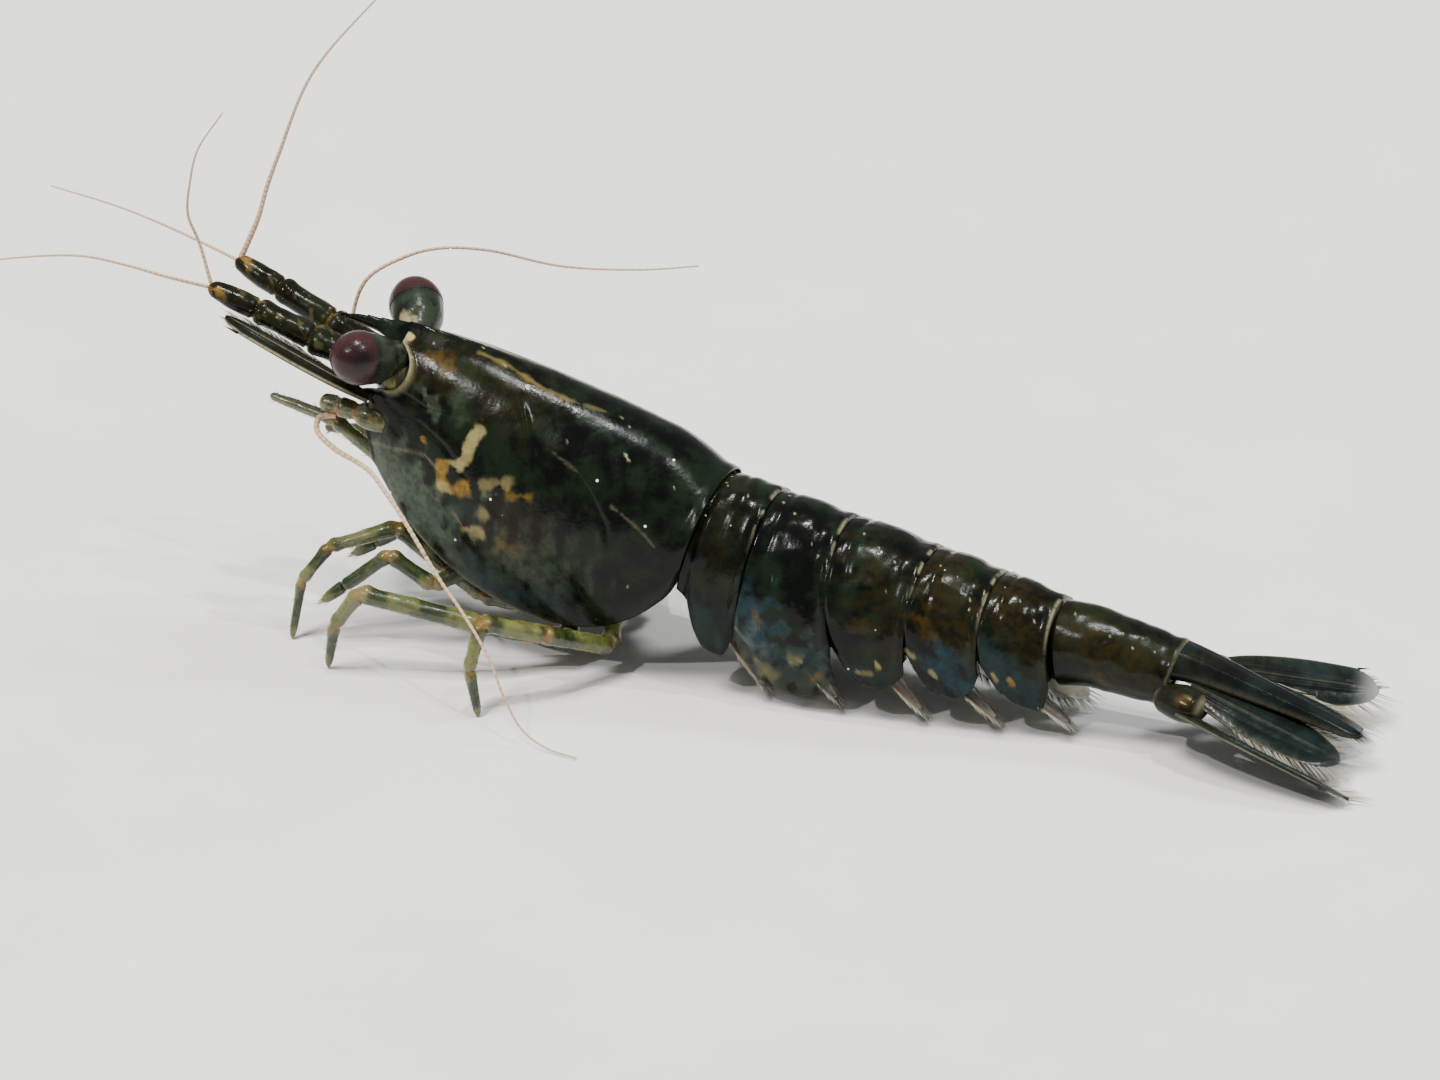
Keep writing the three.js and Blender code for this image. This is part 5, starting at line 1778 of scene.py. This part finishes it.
class PatternTree(Graph):
    """A node group whose pattern is measured in millimetres of the piece's own space."""

    def __init__(self, pattern: Pattern, values: dict[str, float], output: str) -> None:
        """Starts the group.

        Args:
            pattern: the pattern, which names the group.
            values: its inputs with their usual values, its size first.
            output: the name of its one output.
        """
        super().__init__(bpy.data.node_groups.new(pattern.value, "ShaderNodeTree"))
        sockets = self.tree.interface
        for label, usual in values.items():
            sockets.new_socket(label, in_out="INPUT", socket_type="NodeSocketFloat").default_value = usual
        sockets.new_socket(output, in_out="OUTPUT", socket_type="NodeSocketFloat")
        self.given = self.tree.nodes.new("NodeGroupInput").outputs
        place = self.node("TexCoord", {}).outputs["Object"]
        per = self.maths("DIVIDE", 1 / MM, self.given["Size"], clamp=False)
        self.sized = self.node("VectorMath", {0: place, "Scale": per}, operation="SCALE").outputs["Vector"]

    def give(self, value: Socket) -> None:
        """Joins the group's output."""
        self.tree.links.new(value, self.tree.nodes.new("NodeGroupOutput").inputs[0])


def build_patterns() -> None:
    """Builds the shared node groups."""
    mottle = PatternTree(Pattern.MOTTLE, {"Size": 1.0, "Low": 0.4, "High": 0.6, "Detail": 5.0}, "Mask")
    noise = {"Vector": mottle.sized, "Scale": 1.0, "Detail": mottle.given["Detail"], "Roughness": 0.6}
    noise = mottle.node("TexNoise", noise).outputs[0]
    mottle.give(mottle.ramp(noise, mottle.given["Low"], mottle.given["High"]))

    # the middles of some of the cells
    specks = PatternTree(Pattern.SPECKS, {"Size": 0.3, "Radius": 0.2, "Share": 0.3}, "Mask")
    cells = specks.node("TexVoronoi", {"Vector": specks.sized, "Scale": 1.0, "Randomness": 1.0}).outputs
    chance = specks.node("SeparateColor", {"Color": cells["Color"]}).outputs[0]
    some = specks.maths("LESS_THAN", chance, specks.given["Share"], clamp=False)
    near = specks.maths("DIVIDE", cells["Distance"], specks.given["Radius"], clamp=False)
    specks.give(specks.maths("MULTIPLY", specks.ramp(near, 1.0, 0.6), some))

    # soft lumps with small pits between them
    relief = PatternTree(Pattern.RELIEF, {"Size": 0.2, "Pits": 0.4}, "Height")
    lumps = {"Vector": relief.sized, "Scale": 1.0, "Detail": 4.0, "Roughness": 0.55}
    lumps = relief.node("TexNoise", lumps).outputs[0]
    cells = relief.node("TexVoronoi", {"Vector": relief.sized, "Scale": 2.2}, feature="SMOOTH_F1").outputs
    pits = relief.maths("MULTIPLY", cells["Distance"], relief.given["Pits"], clamp=False)
    relief.give(relief.maths("SUBTRACT", lumps, pits, clamp=False))


@dataclass(frozen=True)
class Finish:
    """A finish: its look is the shader's inputs, by name, worked out in its material's graph."""

    name: str

    def look(self, graph: Graph) -> dict[str, object]:
        """Sockets for what changes over the surface, and values for what is the same all over."""
        raise NotImplementedError

    def made(self) -> bpy.types.Material:
        """Builds the material."""
        material = bpy.data.materials.new(self.name)
        material.use_nodes = True
        graph = Graph(material.node_tree)
        shader = graph.tree.nodes["Principled BSDF"]
        for key, value in self.look(graph).items():
            graph.put(shader.inputs[key], value)
        LOG.info("finish %s", self.name)
        return material


@dataclass(frozen=True)
class ShellFinish(Finish):
    """The glossy shell: green-black, clouded, with painted marks, seams and golden specks of painted glint.
    """

    name: str = "shell"
    deep: Triple = (0.0016, 0.0020, 0.0014)
    green: Triple = (0.0044, 0.0088, 0.0040)
    olive: Triple = (0.0150, 0.0110, 0.0026)
    pale: Triple = (0.040, 0.055, 0.034)
    cream: Triple = (0.28, 0.235, 0.095)
    amber: Triple = (0.21, 0.115, 0.018)
    blue: Triple = (0.0045, 0.020, 0.028)
    # also the colour of the flecks of painted highlight
    seam: Triple = (0.20, 0.18, 0.11)
    # the colour of the golden specks of painted highlight
    gold: Triple = (0.95, 0.86, 0.60)
    roughness: Pair = (0.17, 0.26)
    # the share of the cells that hold a golden speck of painted glint
    glitter: float = 0.05  # the share of the cells that hold a speck

    def look(self, graph: Graph) -> dict[str, object]:
        """Clouded green under the painted tints, each broken up by fine noise."""
        pale, cream, amber, blue = graph.painted("Paint")
        seam, clear, olive, glitter = graph.painted("Spots")
        clouds = graph.mottle(0.9, 0.42, 0.62)
        fine = graph.mottle(0.22, 0.35, 0.65)
        broken = graph.mottle(0.12, 0.3, 0.55)
        colour = graph.blend(self.deep, self.green, clouds)
        coats = (
            (self.olive, olive, fine, 0.35),
            (self.pale, pale, fine, 0.45),
            (self.blue, blue, fine, 0.5),
            (self.amber, amber, fine, 0.55),
            (self.cream, cream, fine, 0.7),
            (self.seam, seam, broken, 0.5),
        )
        for over, mask, noise, least in coats:
            colour = graph.cover(colour, over, mask, graph.span(noise, least, 1.0))
        # painted glints: golden specks in a few cells everywhere, and in more where the glint tint is painted
        strong_glints = graph.maths("MULTIPLY", graph.specks(0.2, 0.2, 0.5), glitter)
        specks = graph.maths("MAXIMUM", graph.specks(0.32, 0.13, self.glitter), strong_glints)
        return {
            "Base Color": graph.cover(colour, self.gold, specks, 0.8),
            "Alpha": graph.maths("SUBTRACT", 1.0, clear),
            "Roughness": graph.span(clouds, *self.roughness),
            "Normal": graph.relief(0.16, 0.35, 0.005),
            "Specular IOR Level": 0.14,
        }


@dataclass(frozen=True)
class EyeFinish(Finish):
    """The cornea: deep maroon, darker in its middle, with fine facets."""

    name: str = "eye"
    rim: Triple = (0.030, 0.010, 0.010)
    middle: Triple = (0.005, 0.0025, 0.003)
    dark: Triple = (0.012, 0.010, 0.010)

    def look(self, graph: Graph) -> dict[str, object]:
        """Maroon darkened by the painted core and edge."""
        core, edge, *_ = graph.painted("Paint")
        clouds = graph.mottle(0.35, 0.35, 0.65)
        colour = graph.cover(self.rim, self.middle, core, graph.span(clouds, 0.5, 1.0))
        colour = graph.cover(colour, self.middle, graph.mottle(0.08, 0.35, 0.7), 0.35)
        return {
            "Base Color": graph.blend(colour, self.dark, edge),
            "Alpha": 1.0,
            "Roughness": graph.span(clouds, 0.2, 0.34),
            "Normal": graph.bumped(graph.specks(0.045, 0.5, 1.0), 0.0012),
            "Specular IOR Level": 0.25,
        }


@dataclass(frozen=True)
class StalkFinish(Finish):
    """The eyestalks: smoky green, darker at the rim, with a cream fleck of painted highlight."""

    name: str = "stalk"
    smoke: Triple = (0.020, 0.027, 0.016)
    dark: Triple = (0.004, 0.006, 0.004)
    # the colour of the painted highlight
    cream: Triple = (0.30, 0.27, 0.15)

    def look(self, graph: Graph) -> dict[str, object]:
        """Smoke darkened by the painted rim and neck, and lightened by the fleck of painted highlight."""
        edge, glint_spots, lower, _ = graph.painted("Paint")
        clouds = graph.mottle(0.4, 0.38, 0.62)
        colour = graph.cover(self.smoke, self.dark, lower, clouds)
        colour = graph.cover(colour, self.dark, edge, 0.7)
        return {
            "Base Color": graph.cover(colour, self.cream, glint_spots, 0.75),
            "Alpha": 1.0,
            "Roughness": graph.span(clouds, 0.22, 0.38),
            "Normal": graph.relief(0.12, 0.3, 0.008),
            "Specular IOR Level": 0.25,
        }


@dataclass(frozen=True)
class LimbFinish(Finish):
    """The legs: clear yellow-green with dark green bands, amber joints and pale tips."""

    name: str = "limb"
    clear: Triple = (0.13, 0.14, 0.036)
    green: Triple = (0.009, 0.020, 0.005)
    amber: Triple = (0.24, 0.13, 0.026)
    tip: Triple = (0.08, 0.09, 0.045)

    def look(self, graph: Graph) -> dict[str, object]:
        """Yellow-green under clouds and the painted bands, joints and tips."""
        band, joint, far, _ = graph.painted("Paint")
        clouds = graph.mottle(0.5, 0.38, 0.64)
        fine = graph.mottle(0.14, 0.4, 0.62)
        colour = graph.cover(self.clear, self.tip, far, 0.8)
        colour = graph.cover(colour, self.green, clouds, 0.45)
        colour = graph.cover(colour, self.green, band, graph.span(fine, 0.8, 1.0))
        return {
            "Base Color": graph.cover(colour, self.amber, joint, graph.span(fine, 0.6, 1.0)),
            "Alpha": graph.span(band, 0.86, 1.0),
            "Roughness": graph.span(fine, 0.2, 0.38),
            "Normal": graph.relief(0.1, 0.3, 0.006),
            "Coat Weight": 0.2,
            "Coat Roughness": 0.1,
            "Subsurface Weight": 0.35,
            "Subsurface Scale": 0.0006,
        }


@dataclass(frozen=True)
class FeelerFinish(Finish):
    """The whips: pale tan, ringed, clearer towards their tips."""

    name: str = "feeler"
    tan: Triple = (0.50, 0.36, 0.23)
    ring: Triple = (0.20, 0.12, 0.07)

    def look(self, graph: Graph) -> dict[str, object]:
        """Tan darkened between the painted rings."""
        ring, far, *_ = graph.painted("Paint")
        clouds = graph.mottle(0.7, 0.35, 0.65)
        return {
            "Base Color": graph.cover(self.tan, self.ring, ring, graph.span(clouds, 0.5, 0.9)),
            "Alpha": graph.span(far, 0.95, 0.7),
            "Roughness": graph.span(clouds, 0.3, 0.45),
            "Subsurface Weight": 0.2,
            "Subsurface Scale": 0.0002,
        }


@dataclass(frozen=True)
class PaddleFinish(Finish):
    """The swimmerets: filmy beige with dark streaks."""

    name: str = "paddle"
    film: Triple = (0.36, 0.36, 0.28)
    streak: Triple = (0.055, 0.062, 0.045)

    def look(self, graph: Graph) -> dict[str, object]:
        """Beige darkened by the painted streak and by clouds."""
        streak, rim, *_ = graph.painted("Paint")
        clouds = graph.mottle(0.6, 0.42, 0.62)
        dark = graph.maths("MAXIMUM", streak, graph.maths("MULTIPLY", clouds, 0.6))
        return {
            "Base Color": graph.blend(self.film, self.streak, dark),
            "Alpha": graph.span(rim, 0.72, 0.5),
            "Roughness": graph.span(clouds, 0.3, 0.45),
            "Normal": graph.relief(0.1, 0.3, 0.005),
            "Subsurface Weight": 0.2,
            "Subsurface Scale": 0.0003,
        }


@dataclass(frozen=True)
class HairFinish(Finish):
    """Fringe hairs: clear at the tip, smoky at the root."""

    name: str = "hair"
    root: Triple = (0.20, 0.19, 0.14)
    tip: Triple = (0.62, 0.58, 0.48)

    def look(self, graph: Graph) -> dict[str, object]:
        """From the root's colour to the tip's along each hair."""
        far, *_ = graph.painted("Paint")
        fade = graph.span(graph.mottle(0.8, 0.3, 0.7), 0.6, 1.0)
        return {
            "Base Color": graph.cover(self.root, self.tip, far, fade),
            "Alpha": graph.span(far, 0.8, 0.35),
            "Roughness": 0.4,
        }


@dataclass(frozen=True)
class FloorFinish(Finish):
    """The pale floor: faintly clouded and matt."""

    name: str = "floor"
    light: Triple = (0.66, 0.65, 0.62)
    shade: Triple = (0.60, 0.59, 0.56)

    def look(self, graph: Graph) -> dict[str, object]:
        """Broad, faint clouds."""
        clouds = graph.mottle(9.0, 0.3, 0.7)
        return {"Base Color": graph.blend(self.light, self.shade, clouds), "Alpha": 1.0, "Roughness": 0.7}


class Finishes:
    """Every finish of the animal and its stage, made once."""

    def __init__(self) -> None:
        """Makes the patterns and then the materials."""
        build_patterns()
        self.shell = ShellFinish().made()
        # the breast and the fan get fewer golden specks of painted glint
        self.breast = ShellFinish(
            "breast", (0.04, 0.045, 0.022), (0.09, 0.10, 0.045), roughness=(0.35, 0.5), glitter=0.02
        ).made()
        self.fan = ShellFinish("fan", (0.0024, 0.0036, 0.0034), (0.0050, 0.0090, 0.0080), glitter=0.02).made()
        self.eye = EyeFinish().made()
        self.stalk = StalkFinish().made()
        self.limb = LimbFinish().made()
        self.feeler = FeelerFinish().made()
        self.paddle = PaddleFinish().made()
        self.hair = HairFinish().made()
        self.floor = FloorFinish().made()


# ---- Stage ----


@dataclass(frozen=True)
class Lamp:
    """A square soft light aimed at the animal: where it hangs, its width, power and colour."""

    place: Triple
    width: float
    power: float
    gleams: bool = True  # whether it shows in reflections
    colour: Triple = (1.0, 1.0, 1.0)


def stood(item: bpy.types.Object, place: Array, facing: Array) -> bpy.types.Object:
    """Puts a lamp or a camera into the scene, its back towards a direction."""
    item.location = Vector(place)
    item.rotation_euler = Vector(facing).to_track_quat("Z", "Y").to_euler()
    bpy.context.scene.collection.objects.link(item)
    return item


@dataclass
class Studio:
    """The floor, the lights and the camera."""

    azimuth: float = 21.0
    elevation: float = 26.0
    distance: float = 0.25
    view_width: float = 33.96  # millimetres across the picture at the animal
    sensor: float = 36.0
    aim: Pair = (0.047, -1.722)  # right and up from the back of the shield, in mm
    floor_half: float = 1.5
    sky: Triple = (0.93, 0.96, 1.0)
    sky_strength: float = 0.38
    lamps: tuple[Lamp, ...] = (
        Lamp((-0.12, -0.10, 0.36), 0.12, 2.6, False, (1.0, 0.98, 0.95)),
        Lamp((0.14, 0.20, 0.30), 0.08, 1.2, False, (0.95, 0.98, 1.0)),
        Lamp((0.01, 0.02, 0.38), 0.010, 0.7),
        Lamp((-0.10, -0.20, 0.30), 0.010, 0.5),
        Lamp((0.16, -0.04, 0.34), 0.010, 0.4),
    )

    def build(self, finishes: Finishes) -> None:
        """Builds the camera, the floor and the lights."""
        self.add_camera()
        self.add_floor(finishes)
        for number, lamp in enumerate(self.lamps):
            self.add_lamp(number, lamp)
        world = bpy.data.worlds.new("studio")
        world.use_nodes = True
        background = world.node_tree.nodes["Background"]
        background.inputs["Color"].default_value = (*self.sky, 1.0)
        background.inputs["Strength"].default_value = self.sky_strength
        bpy.context.scene.world = world

    def add_camera(self) -> None:
        """A long lens, so that the picture is nearly free of perspective."""
        a, e = math.radians(self.azimuth), math.radians(self.elevation)
        right = np.array([math.cos(a), math.sin(a), 0.0])
        back = np.array([math.sin(a) * math.cos(e), -math.cos(a) * math.cos(e), math.sin(e)])
        origin = STANCE.posed(np.zeros((1, 3)))[0]
        target = (origin + right * self.aim[0] + np.cross(back, right) * self.aim[1]) * MM
        data = bpy.data.cameras.new("camera")
        data.sensor_width = self.sensor
        data.lens = self.sensor * self.distance / (self.view_width * MM)
        data.clip_start, data.clip_end = 0.01, 10.0
        camera = bpy.data.objects.new("camera", data)
        bpy.context.scene.camera = stood(camera, target + back * self.distance, back)

    def add_floor(self, finishes: Finishes) -> None:
        """A wide flat square at the height of the feet."""
        half = self.floor_half
        corners = [(-half, -half, 0), (half, -half, 0), (half, half, 0), (-half, half, 0)]
        mesh = bpy.data.meshes.new("floor")
        mesh.from_pydata(corners, [], [(0, 1, 2, 3)])
        mesh.materials.append(finishes.floor)
        floor = bpy.data.objects.new("floor", mesh)
        bpy.context.scene.collection.objects.link(floor)

    @staticmethod
    def add_lamp(number: int, lamp: Lamp) -> None:
        """A square light that faces the animal and isn't seen itself."""
        data = bpy.data.lights.new(f"lamp_{number}", "AREA")
        data.size, data.energy, data.color = lamp.width, lamp.power, lamp.colour
        item = stood(bpy.data.objects.new(data.name, data), lamp.place, lamp.place)
        item.visible_camera = False
        item.visible_glossy = lamp.gleams


# ---- The animal ----

MarkRow = tuple[tuple[Pair, ...], float, float, float, float]


def strokes(tint: Tint, *rows: MarkRow) -> tuple[Mark, ...]:
    """Marks of one tint, each from its line, width, strength, softness and raggedness."""
    return tuple(Mark(tint, *row) for row in rows)


def glint_flecks(places: Sequence[Pair], size: float = 0.019) -> tuple[Mark, ...]:
    """Painted highlights: small pale flecks of glint at places on the shell, in the seam's tint."""
    return tuple(Mark(Tint.SEAM, ((x, y), (x + size, y + size)), size, 1.0, 0.5, 0.4) for x, y in places)


SHIELD_MARKS = (
    *strokes(
        Tint.CREAM,
        (((-5.42, 2.15), (-5.5, 2.6), (-5.62, 3.3)), 0.15, 0.72, 0.35, 0.5),
        (((-5.8, 4.08), (-5.54, 4.12)), 0.09, 0.7, 0.4, 0.5),
        (((-4.84, 3.45), (-4.35, 3.08)), 0.12, 0.35, 0.7, 0.8),
        (((-4.56, 4.2), (-4.5, 4.25)), 0.15, 0.4, 0.5, 0.3),
        (((-4.95, 4.8), (-4.45, 4.72)), 0.11, 0.5, 0.5, 0.6),
        (((-8.06, 0.36), (-7.99, 0.4)), 0.08, 1.2, 0.4, 0.3),
        (((-6.3, 0.24), (-5.48, 0.28), (-4.59, 0.5), (-3.82, 0.54), (-2.91, 0.4)), 0.045, 0.2, 0.8, 0.5),
    ),
    *strokes(
        Tint.AMBER,
        (((-5.95, 3.5), (-5.85, 3.95), (-5.5, 4.0), (-5.15, 3.8)), 0.15, 0.8, 0.45, 0.7),
        (((-4.15, 3.35), (-3.78, 3.18)), 0.1, 0.4, 0.6, 0.6),
        (((-3.9, 4.7), (-3.7, 4.65)), 0.17, 0.2, 0.8, 0.6),
        (((-6.68, 3.08), (-6.64, 3.16)), 0.07, 0.6, 0.5, 0.4),
        (((-7.2, 0.8), (-6.8, 0.95)), 0.22, 0.2, 0.9, 0.6),
        (((-6.3, 0.26), (-5.48, 0.32), (-4.59, 0.54), (-3.82, 0.58)), 0.06, 0.22, 0.9, 0.6),
    ),
    *strokes(
        Tint.PALE,
        (((-5.1, 3.95), (-4.78, 3.82), (-4.37, 3.44)), 0.06, 1.0, 0.6, 0.6),
        (((-7.1, 1.72), (-6.5, 2.13)), 0.12, 0.8, 0.8, 0.8),
        (((-6.3, 1.6), (-5.9, 2.0)), 0.2, 0.35, 0.9, 0.6),
        (((-7.3, 4.6), (-6.5, 4.9), (-5.9, 5.2)), 0.75, 1.2, 0.6, 0.4),
        (((-5.6, 5.4), (-4.6, 5.9)), 0.5, 0.4, 0.8, 0.6),
        (((-3.6, 5.3), (-2.7, 4.9)), 0.75, 0.55, 0.9, 0.6),
    ),
    *strokes(
        Tint.SEAM,
        (((-7.94, 4.3), (-7.37, 4.02), (-6.45, 3.58), (-5.95, 3.76)), 0.035, 0.3, 0.6, 0.4),
        (((-3.53, 1.94), (-2.86, 2.09)), 0.03, 0.16, 0.7, 0.5),
        (((-1.75, 2.5), (-0.95, 2.65), (-0.45, 2.75)), 0.03, 0.2, 0.7, 0.5),
        (((-5.3, 4.6), (-4.6, 5.0)), 0.03, 0.3, 0.6, 0.5),
    ),
    *strokes(
        Tint.BLUE,
        (((-4.3, 5.9), (-3.1, 6.0), (-2.2, 5.6)), 0.4, 0.5, 0.9, 0.6),
        (((-6.2, 5.3), (-5.4, 5.0), (-5.0, 4.3)), 0.3, 0.35, 0.9, 0.6),
    ),
    *strokes(
        Tint.OLIVE,
        (((-4.6, 4.4), (-3.4, 4.3)), 0.8, 0.5, 0.9, 0.5),
        (((-7.3, 0.9), (-5.0, 1.2)), 0.8, 0.55, 0.9, 0.5),
    ),
    # painted highlights: pale flecks where glints lie on the shield
    *glint_flecks((
        (-7.41, 0.38), (-6.3, 0.05), (-5.61, 0.31), (-2.51, 0.35), (-2.24, 0.51), (-0.6, 1.31), (-1.25, 5.55),
    )),
    *glint_flecks(((-3.39, 1.54), (-1.96, 1.23), (-1.86, 1.31), (-0.74, 4.07)), 0.024),
)
# each segment's marks, the last of them flecks of painted highlight
SEGMENT_MARKS = (
    (
        *strokes(Tint.OLIVE, (((0.6, 0.3), (1.0, 2.6)), 0.5, 0.35, 0.9, 0.5)),
        *strokes(Tint.BLUE, (((0.8, 3.6), (1.2, 4.1)), 0.3, 0.35, 0.9, 0.5)),
        *glint_flecks(((0.34, 0.16), (0.42, 0.3), (1.0, 0.5), (0.8, 1.2))),
    ),
    (
        *strokes(
            Tint.BLUE,
            (((2.0, 3.2), (2.4, 3.7), (2.6, 4.4)), 0.42, 1.2, 0.8, 0.8),
            (((3.0, 4.2), (3.9, 3.9)), 0.4, 0.7, 0.9, 0.8),
        ),
        *strokes(Tint.PALE, (((2.2, 4.1), (3.0, 4.6), (3.9, 4.3)), 0.6, 0.9, 0.7, 0.8)),
        *strokes(Tint.CLEAR, (((2.0, 4.2), (3.0, 4.8), (4.0, 4.4)), 0.6, 0.45, 0.8, 0.6)),
        *strokes(
            Tint.CREAM,
            (((2.4, 4.3), (2.9, 4.7)), 0.14, 0.45, 0.7, 0.9),
            (((3.3, 4.1), (3.6, 4.0)), 0.09, 0.5, 0.7, 0.9),
        ),
        *strokes(
            Tint.AMBER,
            (((2.1, 3.1), (2.3, 3.3)), 0.07, 0.25, 0.7, 0.9),
            (((3.9, 4.4), (4.05, 4.25)), 0.07, 0.5, 0.7, 0.9),
        ),
        *glint_flecks(((1.8, 0.2), (2.2, 0.5), (2.7, 0.7), (2.9, 1.1), (2.3, 2.2), (3.2, 3.2))),
    ),
    (
        *strokes(
            Tint.CREAM,
            (((5.25, 3.35), (5.35, 3.45)), 0.08, 0.8, 0.5, 0.5),
            (((4.9, 3.85), (5.2, 3.75)), 0.05, 0.4, 0.6, 0.6),
        ),
        *strokes(Tint.OLIVE, (((4.4, 1.0), (5.3, 2.4)), 0.6, 0.5, 0.9, 0.6)),
        *strokes(Tint.AMBER, (((4.5, 2.5), (4.7, 2.7)), 0.14, 0.07, 0.9, 0.9)),
        *strokes(Tint.BLUE, (((4.7, 4.0), (5.3, 3.9)), 0.25, 0.5, 0.9, 0.5)),
        *glint_flecks(((3.9, 0.3), (4.4, 0.6), (4.9, 0.8), (5.0, 1.6))),
    ),
    (
        *strokes(Tint.BLUE, (((6.75, 2.75), (7.1, 3.15), (7.5, 3.2)), 0.38, 1.0, 0.7, 0.5)),
        *strokes(
            Tint.CREAM,
            (((5.9, 2.8), (6.05, 2.9)), 0.07, 0.6, 0.6, 0.6),
            (((6.6, 3.1), (6.75, 3.2)), 0.05, 0.5, 0.6, 0.6),
        ),
        *strokes(Tint.OLIVE, (((5.9, 0.5), (6.9, 1.9)), 0.7, 0.8, 0.9, 0.5)),
        *strokes(Tint.AMBER, (((6.0, 1.9), (6.3, 2.2)), 0.16, 0.09, 0.9, 0.9)),
        *glint_flecks(((5.9, 0.4), (6.4, 0.6), (6.9, 1.0))),
    ),
    (
        *strokes(Tint.AMBER, (((8.4, 2.55), (8.52, 2.65)), 0.07, 0.9, 0.5, 0.5)),
        *strokes(Tint.BLUE, (((7.8, 2.1), (8.3, 2.5), (8.8, 2.75)), 0.3, 0.7, 0.8, 0.6)),
        *strokes(Tint.OLIVE, (((7.6, 0.5), (8.5, 1.5)), 0.7, 0.8, 0.9, 0.5)),
        *strokes(Tint.CREAM, (((8.0, 2.6), (8.1, 2.7)), 0.05, 0.5, 0.6, 0.6)),
        *glint_flecks(((7.5, 0.3), (8.0, 0.6), (8.5, 0.9))),
    ),
)
TAIL_MARKS = (
    *strokes(Tint.OLIVE, (((9.4, 0.5), (10.3, 0.9), (11.2, 1.0)), 0.6, 0.9, 0.9, 0.5)),
    *strokes(Tint.AMBER, (((10.3, 1.6), (10.6, 1.8)), 0.16, 0.07, 0.9, 0.8)),
    # painted highlights: pale flecks of glint
    *glint_flecks(((9.3, 0.3), (9.9, 0.5), (10.3, 0.6), (10.9, 0.7), (11.4, 0.6))),
)
SEGMENTS = tuple(
    Segment(index, *sizes, SEGMENT_MARKS[index])
    for index, sizes in enumerate((
        ((1.76, 1.9), -3.8, 1.1, 0.7, -2.3),
        ((1.92, 1.95), -4.02, 0.85, 0.5, -2.4),
        ((1.9, 1.78), -3.12, 0.65, 0.5, -2.2),
        ((1.76, 1.58), -2.75, 0.75, 0.6, -2.0),
        ((1.54, 1.22), -2.45, 0.8, 0.8, -1.8),
    ))
)  # each one's half widths, side plate's tip, notch, peak and belly


def build_trunk(finishes: Finishes) -> None:
    """Builds the shield, the beak, the breast and the six segments."""
    piece("carapace", Carapace(marks=SHIELD_MARKS).surface(), finishes.shell, "shell")
    piece("rostrum", Rostrum().surface(), finishes.shell, "shell")
    piece("underbody", Breast().surface(), finishes.breast, "soft_shell")
    for segment in SEGMENTS:
        piece(f"abdomen_{segment.index + 1}", segment.surface(), finishes.shell, "shell")
    piece("abdomen_6", TailSegment(marks=TAIL_MARKS).surface(), finishes.shell, "shell")


def main() -> None:
    """Builds the stage and the animal, part by part."""
    logging.basicConfig(level=logging.INFO, format="%(message)s")
    finishes = Finishes()
    Studio().build(finishes)
    build_trunk(finishes)
    TailFan().build(finishes)
    Eyes().build(finishes)
    Antennules().build(finishes)
    Antennae().build(finishes)
    Legs().build(finishes)
    Swimmerets().build(SEGMENTS, finishes)


if __name__ == "__main__":
    main()
